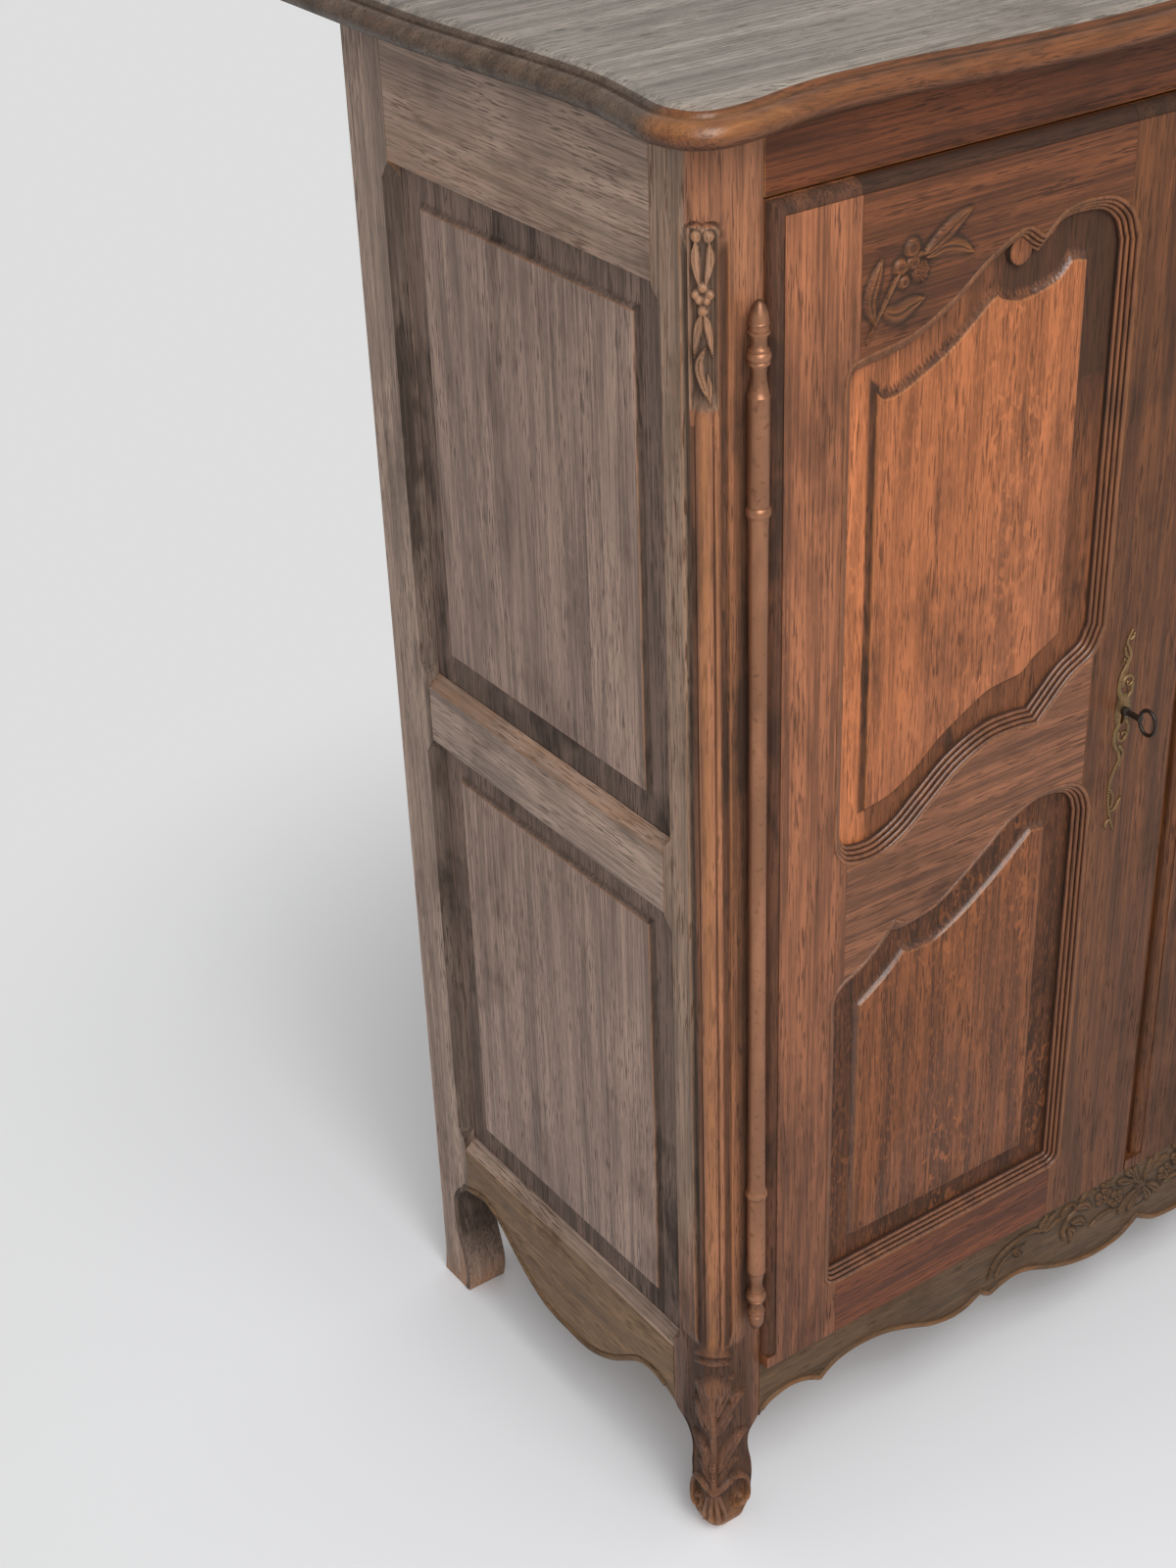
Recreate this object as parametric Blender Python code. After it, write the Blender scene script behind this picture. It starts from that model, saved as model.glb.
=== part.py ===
"""Two-door kitchen cupboard in the French provincial manner, built as a joined frame.

Meshes are drawn in cupboard coordinates: x from the middle, y from the front plane of the posts
towards the back, z from the floor. The left half is drawn with u, the distance from the left side
plane, and the right half is its mirror image. One empty moves the whole over the origin.
"""
import math

import bmesh
import bpy
from mathutils import Matrix, Vector
from mathutils.geometry import intersect_line_line_2d

# Body, in metres
BODY_W = 1.120
BODY_D = 0.480
POST_H = 1.361
TOP_T = 0.027
TOP_OVER = 0.046
TOP_EDGE = 0.024
TOP_BACK = 0.012
FIT = 0.0003

# Posts and rails of the carcass
POST_W = 0.0555
POST_D = 0.0595
REAR_W = 0.045
REAR_D = 0.059
CORNER_R = 0.0155
QUIRK = 0.003
KNEE_H = 0.260
KNEE_SWELL = 0.005
COLUMN_DROP = 0.065
COLUMN_END = 0.006
REAR_FOOT_H = 0.153
REAR_FOOT_CUT = 0.021
REAR_FOOT_FLARE = 0.004
SIDE_T = 0.024
FRONT_T = 0.022
TENON_L = 0.025
TENON_U = (0.008, 0.018)
FRONT_TENON_Y = (0.007, 0.015)
SIDE_TOP_H = 0.118
SIDE_MID_Z = (0.700, 0.767)
SIDE_LOW_Z = (0.080, 0.2195)
CHAMFER = 0.0112
CHAMFER_STOP = 0.016

# Grooves, and the panel edges that stand in them
GROOVE_T = 0.0066
GROOVE_DEPTH = 0.008
TONGUE_DEPTH = 0.007
SIDE_GROOVE_U = 0.012
SIDE_FIELD_MARGIN = 0.0335
FIELD_RAISE = 0.005
FIELD_BEVEL = 0.003

# Framed back
BACK_T = 0.022
BACK_INSET = 0.008
BACK_GROOVE_IN = 0.008
BACK_TOP_H = 0.090
BACK_LOW_Z = (0.110, 0.206)
MUNTIN_W = 0.080

# Floor and shelves
FLOOR_TOP = 0.196
FLOOR_T = 0.016
FLOOR_TONGUE = (0.006, 0.014)
FLOOR_HOUSING = 0.007
SHELF_T = 0.018
SHELF_FRONT = 0.063
SHELF_TOPS = {"lower": 0.588, "upper": 0.968}
CLEAT_W = 0.020
CLEAT_H = 0.026

# Door opening and doors
OPEN_LOW = 0.198
FRIEZE_H = 0.0545
DOOR_SIDE_GAP = 0.001
DOOR_END_GAP = 0.002
MEET_GAP = 0.002
STRIP_W = 0.0777
DOOR_T = 0.028
DOOR_PROUD = 0.010
HINGE_STILE_W = 0.0815
MEET_STILE_W = 0.109
DOOR_TENON_L = 0.040
DOOR_TENON_Y = (0.002, 0.011)
EDGE_R = 0.0095
EDGE_QUIRK = 0.001
EDGE_STOP = 0.012
EDGE_TOP_STOP = 0.024
STRIP_LEDGE = 0.0125

# Moulding round the door panels
MOULD_W = 0.014
MOULD_DEPTH = 0.012
MOULD_STEPS = ((0.05, 0.27), (0.42, 0.32), (0.47, 0.62), (0.85, 0.70), (1.0, 1.0))
MOULD_LIP = 0.002

# Heights of the shaped panel openings, at the outer edge of the moulding
MIDDLE_GAP = 0.115
UPPER_LOW_RISE = 0.113
UPPER_CREST_DROP = 0.0605
UPPER_RISE = 0.072
LOWER_LOW = 0.260
LOWER_SPRING = 0.606
LOWER_RISE = 0.108
LOWER_CORNER_R = 0.016
LOWER_FIELD_LIFT = 0.0424

# Barrel hinge
HINGE_U = 0.043
HINGE_Y = -0.0105
HINGE_SHARES = (0.1974, 0.7986)
KNUCKLE_L = 0.158
RING_H = 0.009
BARREL_R = 0.0083
ROD_R = 0.0074
RING_R = 0.0098
PIN_R = 0.004
PIN_CLEARANCE = 0.0001
PIN_L = 0.024
LEAF_T = 0.002
LEAF_H = 0.060
LEAF_IN = 0.020
LEAF_AT = (0.16, 0.50, 0.84)
PLATE_T = 0.003
PLATE_IN = 0.022
PLATE_Z = (0.018, 0.073)

# Lock, key and slide bolts
KEY_BACK = 0.066
KEY_Z = 0.765
KEY_R = 0.00275
KEY_REACH = 0.042
KEY_BOW = (0.0093, 0.012)
KEY_WIRE = 0.0018
KEY_BIT_R = 0.0125
KEYHOLE_R = 0.0033
ESC_T = 0.0016
ESC_H = 0.208
ESC_HALF = 0.014
CASE_SIZE = (0.088, 0.0157, 0.120)
CASE_WALL = 0.0025
CASE_DROP = 0.060
BOLT_Z = (0.0145, 0.031)
BOLT_T = 0.006
BOLT_L = 0.0675
BOLT_PLAY = 0.0004
KEEP_SIZE = (0.022, 0.0127, 0.027)
SLIDE_W = 0.012
SLIDE_T = 0.005
SLIDE_L = 0.150
SLIDE_END = 0.0045
SLIDE_SETBACK = 0.001
GUIDE_SIZE = (0.032, 0.0127, 0.026)
GUIDE_AT = 0.0425
KNOB_AT = 0.115

# Derived places
HALF = BODY_W / 2
OPEN_Z = (OPEN_LOW, POST_H - FRIEZE_H)
SIDE_TOP_Z = POST_H - SIDE_TOP_H
REAR_Y = BODY_D - REAR_D
BACK_Y = BODY_D - BACK_INSET - BACK_T
BACK_GROOVE_Y = BACK_Y + BACK_GROOVE_IN
FRONT_Y = (DOOR_PROUD + KEY_REACH - BODY_D - TOP_BACK) / 2
DOOR_U = (POST_W + DOOR_SIDE_GAP, HALF - (STRIP_W + MEET_GAP + FIT) / 2)
DOOR_Z = (OPEN_Z[0] + DOOR_END_GAP, OPEN_Z[1] - DOOR_END_GAP)
DOOR_Y = (-DOOR_PROUD, DOOR_T - DOOR_PROUD)
UPPER_LOW = LOWER_SPRING + MIDDLE_GAP
UPPER_SPRING = DOOR_Z[1] - UPPER_CREST_DROP - UPPER_RISE
HINGE_JOINTS = [DOOR_Z[0] + share * (DOOR_Z[1] - DOOR_Z[0]) for share in HINGE_SHARES]
SIGHT_U = (DOOR_U[0] + HINGE_STILE_W, DOOR_U[1] - MEET_STILE_W)
PANEL_U = (SIGHT_U[0] - MOULD_W, SIGHT_U[1] + MOULD_W)
GROOVE_Y = DOOR_Y[0] + MOULD_DEPTH + MOULD_LIP
KEY_U = DOOR_U[1] - KEY_BACK
STRIP_X = (DOOR_U[1] + MEET_GAP - HALF, DOOR_U[1] + MEET_GAP + STRIP_W - HALF)
SLIDE_Y = FRONT_T + SLIDE_SETBACK
TONGUE_Z = (FLOOR_TOP - FLOOR_TONGUE[1], FLOOR_TOP - FLOOR_TONGUE[0])

FINISHES = {
    "side_oak": ("5f5048", 0.55, 0.0),
    "front_oak": ("7a4a32", 0.42, 0.0),
    "panel_oak": ("9a5c38", 0.40, 0.0),
    "post_oak": ("7d5640", 0.45, 0.0),
    "apron_oak": ("5d4a3e", 0.50, 0.0),
    "top_oak": ("6f6763", 0.50, 0.0),
    "inner_oak": ("8a6a4a", 0.65, 0.0),
    "bronze": ("8a6a4a", 0.40, 0.9),
    "brass": ("8c7448", 0.38, 0.9),
    "iron": ("3d3a38", 0.50, 0.9),
}


def linear(channel):
    """Turn one sRGB channel into linear light."""
    return channel / 12.92 if channel <= 0.04045 else ((channel + 0.055) / 1.055) ** 2.4


def make_finish(name):
    """Make one Principled material from its row in FINISHES."""
    code, roughness, metallic = FINISHES[name]
    rgb = [linear(int(code[i:i + 2], 16) / 255) for i in (0, 2, 4)]
    material = bpy.data.materials.new(name)
    material.use_nodes = True
    shader = material.node_tree.nodes["Principled BSDF"]
    shader.inputs["Base Color"].default_value = (*rgb, 1.0)
    shader.inputs["Roughness"].default_value = roughness
    shader.inputs["Metallic"].default_value = metallic
    material.diffuse_color = (*rgb, 1.0)
    return material


def left(u, y, z):
    """Point of the left half, u measured from the left side plane."""
    return Vector((u - HALF, y, z))


def closed_mesh(bm):
    """Turn all faces outwards and hand the result over as a mesh."""
    bmesh.ops.remove_doubles(bm, verts=bm.verts, dist=1e-6)
    bmesh.ops.recalc_face_normals(bm, faces=bm.faces)
    if bm.calc_volume(signed=True) < 0:
        bmesh.ops.reverse_faces(bm, faces=bm.faces)
    mesh = bpy.data.meshes.new("solid")
    bm.to_mesh(mesh)
    bm.free()
    return mesh


def rings_solid(rings):
    """Closed solid through rings of equal point count, capped at both ends."""
    bm = bmesh.new()
    rows = [[bm.verts.new(point) for point in ring] for ring in rings]
    count = len(rows[0])
    for low, high in zip(rows, rows[1:]):
        for i in range(count):
            j = (i + 1) % count
            bm.faces.new((low[i], low[j], high[j], high[i]))
    bm.faces.new(rows[0])
    bm.faces.new(rows[-1])
    return closed_mesh(bm)


def box(low, high):
    """Box between two corners in left-half coordinates."""
    (u0, y0, z0), (u1, y1, z1) = low, high
    plan = ((u0, y0), (u1, y0), (u1, y1), (u0, y1))
    return rings_solid([[left(u, y, z) for u, y in plan] for z in (z0, z1)])


def middle_box(low, high):
    """Box between two corners given with x from the middle."""
    return box((low[0] + HALF, low[1], low[2]), (high[0] + HALF, high[1], high[2]))


def prism_z(outline, z0, z1):
    """Solid of a (u, y) outline between two heights."""
    return rings_solid([[left(u, y, z) for u, y in outline] for z in (z0, z1)])


def prism_y(outline, y0, y1):
    """Solid of a (u, z) outline between two depths."""
    return rings_solid([[left(u, y, z) for u, z in outline] for y in (y0, y1)])


def prism_u(outline, u0, u1):
    """Solid of a (y, z) outline between two distances from the side."""
    return rings_solid([[left(u, y, z) for y, z in outline] for u in (u0, u1)])


def lathe(profile, u, y, sides=16):
    """Turned solid about a vertical axis from (radius, height) pairs."""
    rings = []
    for radius, z in profile:
        angles = [2 * math.pi * i / sides for i in range(sides)]
        rings.append([left(u + radius * math.cos(a), y + radius * math.sin(a), z) for a in angles])
    return rings_solid(rings)


def rod_y(u, z, radius, y0, y1, sides=16):
    """Round bar that runs from front to back."""
    angles = [2 * math.pi * i / sides for i in range(sides)]
    outline = [(u + radius * math.cos(a), z + radius * math.sin(a)) for a in angles]
    return prism_y(outline, y0, y1)


def combine(base, adds=(), cuts=()):
    """Join solids to a base, then cut others out of it."""
    target = bpy.data.objects.new("work", base)
    links = bpy.context.scene.collection.objects
    links.link(target)
    tools = []
    for meshes, operation in ((adds, "UNION"), (cuts, "DIFFERENCE")):
        for mesh in meshes:
            tool = bpy.data.objects.new("tool", mesh)
            links.link(tool)
            tools.append(tool)
            step = target.modifiers.new("step", "BOOLEAN")
            step.operation = operation
            step.solver = "EXACT"
            step.object = tool
    graph = bpy.context.evaluated_depsgraph_get()
    result = bpy.data.meshes.new_from_object(target.evaluated_get(graph))
    for used in [target] + tools:
        bpy.data.objects.remove(used, do_unlink=True)
    return result


def mirrored(mesh):
    """Mirror image of a mesh in the middle plane of the cupboard."""
    copy = mesh.copy()
    copy.transform(Matrix.Scale(-1, 4, (1, 0, 0)))
    copy.flip_normals()
    return copy


def as_drawn(mesh):
    """Mesh of the left half, left as it is."""
    return mesh


def smooth(points, steps=2):
    """Catmull-Rom curve through the points, both ends kept."""
    knots = [Vector(p) for p in points]
    knots = [knots[0] * 2 - knots[1]] + knots + [knots[-1] * 2 - knots[-2]]
    curve = []
    for a, b, c, d in zip(knots, knots[1:], knots[2:], knots[3:]):
        for k in range(steps):
            t = k / steps
            flat = b * 2 + (c - a) * t
            bend = (a * 2 - b * 5 + c * 4 - d) * t ** 2 + (b * 3 - a - c * 3 + d) * t ** 3
            curve.append((flat + bend) * 0.5)
    return curve + [knots[-2]]


def chain(runs, steps=2):
    """Join smooth runs that meet at sharp points into one outline."""
    outline = []
    for run in runs:
        for point in smooth(run, steps) if len(run) > 2 else [Vector(p) for p in run]:
            if not outline or (point - outline[-1]).length > 1e-5:
                outline.append(point)
    if (outline[0] - outline[-1]).length < 1e-5:
        outline.pop()
    return outline


def inset(outline, distance):
    """Move a closed outline inwards by a distance, with mitred corners."""
    count = len(outline)
    area = sum(a.x * b.y - b.x * a.y for a, b in zip(outline, outline[1:] + outline[:1]))
    turn = 1 if area > 0 else -1
    moved = []
    for i, point in enumerate(outline):
        before = (point - outline[i - 1]).normalized()
        after = (outline[(i + 1) % count] - point).normalized()
        normal_a = Vector((-before.y, before.x)) * turn
        normal_b = Vector((-after.y, after.x)) * turn
        spread = max(1 + normal_a.dot(normal_b), 0.4)
        moved.append(point + (normal_a + normal_b) * (distance / spread))
    return untangled(moved)


def untangled(outline, reach=6):
    """Pull the small loops of a crossed outline together at their crossing point."""
    count = len(outline)
    for i in range(count):
        for step in range(reach, 1, -1):
            j = (i + step) % count
            corners = (outline[i], outline[(i + 1) % count], outline[j], outline[(j + 1) % count])
            crossing = intersect_line_line_2d(*corners)
            if crossing:
                for k in range(1, step + 1):
                    outline[(i + k) % count] = crossing.copy()
                break
    return outline


def grown(low, high, fit=FIT):
    """Box a little larger on every side, for the socket of a tenon or a plate."""
    return box([v - fit for v in low], [v + fit for v in high])


def panel_curve(points, level, rise):
    """Scale (share of width, share of rise) pairs to the door's panel opening."""
    width = PANEL_U[1] - PANEL_U[0]
    return [(PANEL_U[0] + s * width, level + t * rise) for s, t in points]


def upper_opening():
    """Outer edge of the moulding round the upper door panel."""
    top_a = ((0, -0.28), (0.015, -0.08), (0.063, 0), (0.219, 0.10), (0.352, 0.35), (0.468, 0.68),
             (0.585, 0.89), (0.654, 0.74))
    top_b = ((0.654, 0.74), (0.72, 0.95), (0.80, 1.0), (0.90, 0.94), (0.97, 0.72), (1.0, 0.40))
    low_a = ((1.0, 1.21), (0.957, 1.0), (0.867, 0.867), (0.784, 0.664), (0.751, 0.575))
    low_b = ((0.751, 0.575), (0.668, 0.606), (0.568, 0.60), (0.452, 0.478), (0.352, 0.283),
             (0.252, 0.088), (0.153, 0), (0.053, 0.044), (0.007, 0.186), (0, 0.30))
    runs = [panel_curve(run, UPPER_SPRING, UPPER_RISE) for run in (top_a, top_b)]
    runs += [panel_curve(run, UPPER_LOW, UPPER_LOW_RISE) for run in (low_a, low_b)]
    return chain(runs)


def upper_field():
    """Edge of the raised field of the upper door panel."""
    top_a = ((0.136, -0.54), (0.165, -0.625), (0.231, -0.583), (0.381, -0.29), (0.4975, 0.07),
             (0.531, 0.139))
    top_b = ((0.531, 0.139), (0.557, 0.07), (0.62, 0.014), (0.73, 0.097), (0.787, 0.29))
    top_c = ((0.787, 0.29), (0.837, 0.25))
    low = ((0.837, 1.26), (0.747, 1.137), (0.697, 1.04), (0.614, 1.022), (0.547, 0.978),
           (0.398, 0.765), (0.314, 0.588), (0.248, 0.482), (0.198, 0.438), (0.136, 0.416))
    runs = [panel_curve(run, UPPER_SPRING, UPPER_RISE) for run in (top_a, top_b, top_c)]
    return chain(runs + [panel_curve(low, UPPER_LOW, UPPER_LOW_RISE)])


def corner_arc(u, z, radius, start):
    """Quarter circle in the (u, z) plane, drawn clockwise from a start angle."""
    angles = [math.radians(start - 22.5 * i) for i in range(5)]
    return [Vector((u + radius * math.cos(a), z + radius * math.sin(a))) for a in angles]


def lower_opening():
    """Outer edge of the moulding round the lower door panel."""
    top_a = ((0, -0.167), (0.012, -0.083), (0.045, 0), (0.118, 0.10), (0.185, 0.25), (0.234, 0.407))
    top_b = ((0.234, 0.407), (0.268, 0.347), (0.302, 0.333), (0.352, 0.352), (0.419, 0.407),
             (0.551, 0.648), (0.668, 0.88), (0.80, 1.0), (0.917, 0.954), (0.975, 0.82), (1.0, 0.64))
    r = LOWER_CORNER_R
    outline = chain([panel_curve(run, LOWER_SPRING, LOWER_RISE) for run in (top_a, top_b)])
    outline += corner_arc(PANEL_U[1] - r, LOWER_LOW + r, r, 0)
    return outline + corner_arc(PANEL_U[0] + r, LOWER_LOW + r, r, -90)


def lower_field():
    """Edge of the raised field of the lower door panel."""
    top_a = ((0.138, -0.384), (0.181, -0.315), (0.248, -0.185), (0.301, -0.046))
    top_b = ((0.301, -0.046), (0.331, -0.074), (0.381, -0.083), (0.431, -0.065), (0.547, 0.093),
             (0.681, 0.343), (0.787, 0.583))
    top_c = ((0.787, 0.583), (0.837, 0.556))
    outline = chain([panel_curve(run, LOWER_SPRING, LOWER_RISE) for run in (top_a, top_b, top_c)])
    base = LOWER_LOW + LOWER_FIELD_LIFT
    return outline + [Vector((outline[-1].x, base)), Vector((outline[0].x, base))]


def opening_cutter(outline):
    """What is cut from a door frame for one panel: moulding, lip, groove and sight opening."""
    sight = inset(outline, MOULD_W)
    groove = inset(outline, MOULD_W - GROOVE_DEPTH)
    levels = [(outline, DOOR_Y[0] - 0.002), (outline, DOOR_Y[0])]
    levels += [(inset(outline, k * MOULD_W), DOOR_Y[0] + d * MOULD_DEPTH) for k, d in MOULD_STEPS]
    levels += [(sight, GROOVE_Y), (groove, GROOVE_Y), (groove, GROOVE_Y + GROOVE_T)]
    levels += [(sight, GROOVE_Y + GROOVE_T), (sight, DOOR_Y[1] + 0.002)]
    return rings_solid([[left(p.x, y, p.y) for p in ring] for ring, y in levels])


def door_panel(outline, field):
    """Shaped door panel: a board with its edge in the groove, and a raised field."""
    y0 = GROOVE_Y + FIT
    edge = inset(outline, MOULD_W - TONGUE_DEPTH)
    board = prism_y(edge, y0, y0 + GROOVE_T - 2 * FIT)
    foot = inset(field, -FIELD_BEVEL)
    levels = [(foot, y0 + 0.002), (foot, y0), (field, y0 - FIELD_RAISE)]
    raised = rings_solid([[left(p.x, y, p.y) for p in ring] for ring, y in levels])
    return combine(board, adds=[raised])


def edge_round(edge, inward):
    """Quarter-round with a quirk on a door edge: (distance across, y) outline of the waste."""
    top = DOOR_Y[0] + EDGE_QUIRK
    waste = []
    for i in range(6):
        a = math.radians(90 * i / 5)
        waste.append((edge + inward * EDGE_R * (1 - math.cos(a)), top + EDGE_R * (1 - math.sin(a))))
    shoulder = edge + inward * (EDGE_R + EDGE_QUIRK)
    above = DOOR_Y[0] - 0.002
    outside = edge - inward * 0.002
    return waste + [(shoulder, top), (shoulder, above), (outside, above), (outside, top + EDGE_R)]


def top_edge_cutter(u0, u1):
    """Waste of the quarter-round along the top edge of a door."""
    outline = [(y, z) for z, y in edge_round(DOOR_Z[1], -1)]
    return prism_u(outline, u0 - 0.002, u1 + 0.002)


def keyhole_cutter(y0, y1):
    """Round hole with a slot below it, for the key."""
    hole = rod_y(KEY_U, KEY_Z, KEYHOLE_R, y0, y1)
    slot_w = KEYHOLE_R * 0.55
    slot_low = KEY_Z - KEY_BIT_R - 0.0015
    slot = box((KEY_U - slot_w, y0 + 0.0001, slot_low), (KEY_U + slot_w, y1 - 0.0001, KEY_Z))
    return combine(hole, adds=[slot])


def rail_tenons():
    """Heights of the tenons of the three door rails at the hinge stile and the meeting stile."""
    crest = UPPER_SPRING + UPPER_RISE
    return {
        "top": ((UPPER_SPRING + 0.014, DOOR_Z[1] - 0.015), (crest + 0.006, DOOR_Z[1] - 0.015)),
        "middle": ((LOWER_SPRING + 0.019, UPPER_LOW - 0.016),
                   (LOWER_SPRING + LOWER_RISE + 0.016, UPPER_LOW + UPPER_LOW_RISE - 0.019)),
        "bottom": ((DOOR_Z[0] + 0.012, LOWER_LOW - 0.002),) * 2,
    }


def tenon_boxes(hinge_z, meet_z):
    """Corners of the two tenons of one door rail."""
    y0, y1 = DOOR_TENON_Y
    u0, u1 = SIGHT_U
    at_hinge = ((u0 - DOOR_TENON_L, y0, hinge_z[0]), (u0 + 0.008, y1, hinge_z[1]))
    at_meet = ((u1 - 0.008, y0, meet_z[0]), (u1 + DOOR_TENON_L, y1, meet_z[1]))
    return at_hinge, at_meet


def leaf_boxes():
    """Corners of the hinge leaves that run from the rod into the hinge stile."""
    y1 = HINGE_Y + ROD_R + 0.0012
    low, high = HINGE_JOINTS
    leaves = []
    for share in LEAF_AT:
        z = low + share * (high - low)
        leaves.append(((HINGE_U, y1 - LEAF_T, z - LEAF_H / 2),
                       (DOOR_U[0] + LEAF_IN, y1, z + LEAF_H / 2)))
    return leaves


def hinge_rod():
    """Long middle barrel of the hinge, bored at both ends, with its leaves."""
    low, high = HINGE_JOINTS
    half = ((BARREL_R, FIT), (RING_R, RING_H / 3), (RING_R, 0.72 * RING_H), (BARREL_R, RING_H),
            (1.08 * ROD_R, 1.8 * RING_H), (ROD_R, 0.21 * (high - low)))
    profile = [(r, low + d) for r, d in half] + [(r, high - d) for r, d in reversed(half)]
    bore_r = PIN_R + PIN_CLEARANCE
    ends = ((low - 0.002, low + PIN_L + 0.001), (high - PIN_L - 0.001, high + 0.002))
    bores = [lathe([(bore_r, z0), (bore_r, z1)], HINGE_U, HINGE_Y) for z0, z1 in ends]
    leaves = [box(*corners) for corners in leaf_boxes()]
    return combine(lathe(profile, HINGE_U, HINGE_Y), adds=leaves, cuts=bores)


def knuckle(upper):
    """Fixed barrel with finial, pin and driven plate, above or below the rod."""
    turned = ((1, 0), (1, 0.544), (0.747, 0.570), (0.675, 0.684), (0.94, 0.715), (1.108, 0.734),
              (0.94, 0.753), (0.723, 0.772), (0.723, 0.81), (1, 0.835), (0.675, 0.867), (0.759, 0.911),
              (0.554, 0.962), (0.096, 1))
    joint = HINGE_JOINTS[1] if upper else HINGE_JOINTS[0]
    up = 1 if upper else -1
    profile = [(r * BARREL_R, joint + up * d * KNUCKLE_L) for r, d in turned]
    body = lathe(profile, HINGE_U, HINGE_Y)
    pin = lathe([(PIN_R, joint - up * PIN_L), (PIN_R, joint + up * 0.01)], HINGE_U, HINGE_Y)
    return combine(body, adds=[pin, box(*plate_box(upper))])


def plate_box(upper):
    """Corners of the plate that holds a knuckle in the post."""
    joint = HINGE_JOINTS[1] if upper else HINGE_JOINTS[0]
    up = 1 if upper else -1
    heights = sorted(joint + up * d for d in PLATE_Z)
    return ((HINGE_U - PLATE_T / 2, HINGE_Y, heights[0]), (HINGE_U + PLATE_T / 2, PLATE_IN, heights[1]))


def door_frame(lock):
    """Stiles, rails and panels of a door, as left-half meshes by name."""
    outlines = {"upper": upper_opening(), "lower": lower_opening()}
    fields = {"upper": upper_field(), "lower": lower_field()}
    openings = {name: opening_cutter(outline) for name, outline in outlines.items()}
    both = list(openings.values())
    (y0, y1), (z0, z1) = DOOR_Y, DOOR_Z
    tenons = {name: tenon_boxes(*heights) for name, heights in rail_tenons().items()}
    top_waste = top_edge_cutter(*DOOR_U)

    side_waste = prism_z(edge_round(DOOR_U[0], 1), DOOR_Z[0] + EDGE_STOP, z1 + 0.002)
    hinge_cuts = both + [top_waste, side_waste] + [grown(*pair[0]) for pair in tenons.values()]
    hinge_cuts += [grown(*corners) for corners in leaf_boxes()]
    meet_cuts = both + [top_waste] + [grown(*pair[1]) for pair in tenons.values()]
    if lock:
        meet_cuts.append(keyhole_cutter(y0 - 0.002, y1 + 0.002))
    pieces = {
        "hinge_stile": combine(box((DOOR_U[0], y0, z0), (SIGHT_U[0], y1, z1)), cuts=hinge_cuts),
        "meeting_stile": combine(box((SIGHT_U[1], y0, z0), (DOOR_U[1], y1, z1)), cuts=meet_cuts),
    }
    rail_z = {
        "top": (UPPER_SPRING - 0.030, z1),
        "middle": (LOWER_SPRING - 0.036, UPPER_LOW + UPPER_LOW_RISE + 0.041),
        "bottom": (z0, LOWER_LOW + 0.040),
    }
    for name, (low, high) in rail_z.items():
        body = box((SIGHT_U[0] + FIT, y0, low), (SIGHT_U[1] - FIT, y1, high))
        cuts = both + ([top_waste] if name == "top" else [])
        shaped = combine(body, cuts=cuts)
        pieces[name + "_rail"] = combine(shaped, adds=[box(*pair) for pair in tenons[name]])
    for name in outlines:
        pieces[name + "_panel"] = door_panel(outlines[name], fields[name])
    return pieces


def closing_strip():
    """Moulded strip that covers the meeting of the doors."""
    x0, x1 = STRIP_X
    outline = edge_round(x0 + STRIP_LEDGE + HALF, 1)
    ledge = [(u, y) if u > x0 + STRIP_LEDGE + HALF - 0.001 else (x0 + HALF - 0.002, y) for u, y in outline]
    side_waste = prism_z(ledge, DOOR_Z[0] + EDGE_STOP, DOOR_Z[1] - EDGE_TOP_STOP)
    body = middle_box((x0, DOOR_Y[0], DOOR_Z[0]), (x1, DOOR_Y[1], DOOR_Z[1]))
    return combine(body, cuts=[side_waste, top_edge_cutter(x0 + HALF, x1 + HALF)])


def escutcheon():
    """Scrolled key plate, drawn from stations of (share of height, sway, half width)."""
    stations = ((0.385, 0, 0.057), (0.337, 0.071, 0.286), (0.279, -0.143, 0.5), (0.216, 0, 0.857),
                (0.163, 0.143, 1), (0.106, 0.071, 0.643), (0.048, 0, 0.714), (0, 0, 0.857),
                (-0.058, 0, 0.786), (-0.115, -0.143, 0.643), (-0.173, -0.143, 0.893), (-0.231, 0, 0.643),
                (-0.298, -0.214, 0.5), (-0.375, -0.357, 0.393), (-0.457, -0.357, 0.321),
                (-0.538, -0.286, 0.25), (-0.615, -0.071, 0.071))
    right = [(KEY_U + (c + w) * ESC_HALF, KEY_Z + z * ESC_H) for z, c, w in stations]
    other = [(KEY_U + (c - w) * ESC_HALF, KEY_Z + z * ESC_H) for z, c, w in reversed(stations)]
    face = DOOR_Y[0] - FIT
    plate = prism_y(right + other, face - ESC_T, face)
    return combine(plate, cuts=[keyhole_cutter(face - ESC_T - 0.002, face + 0.002)])


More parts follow.
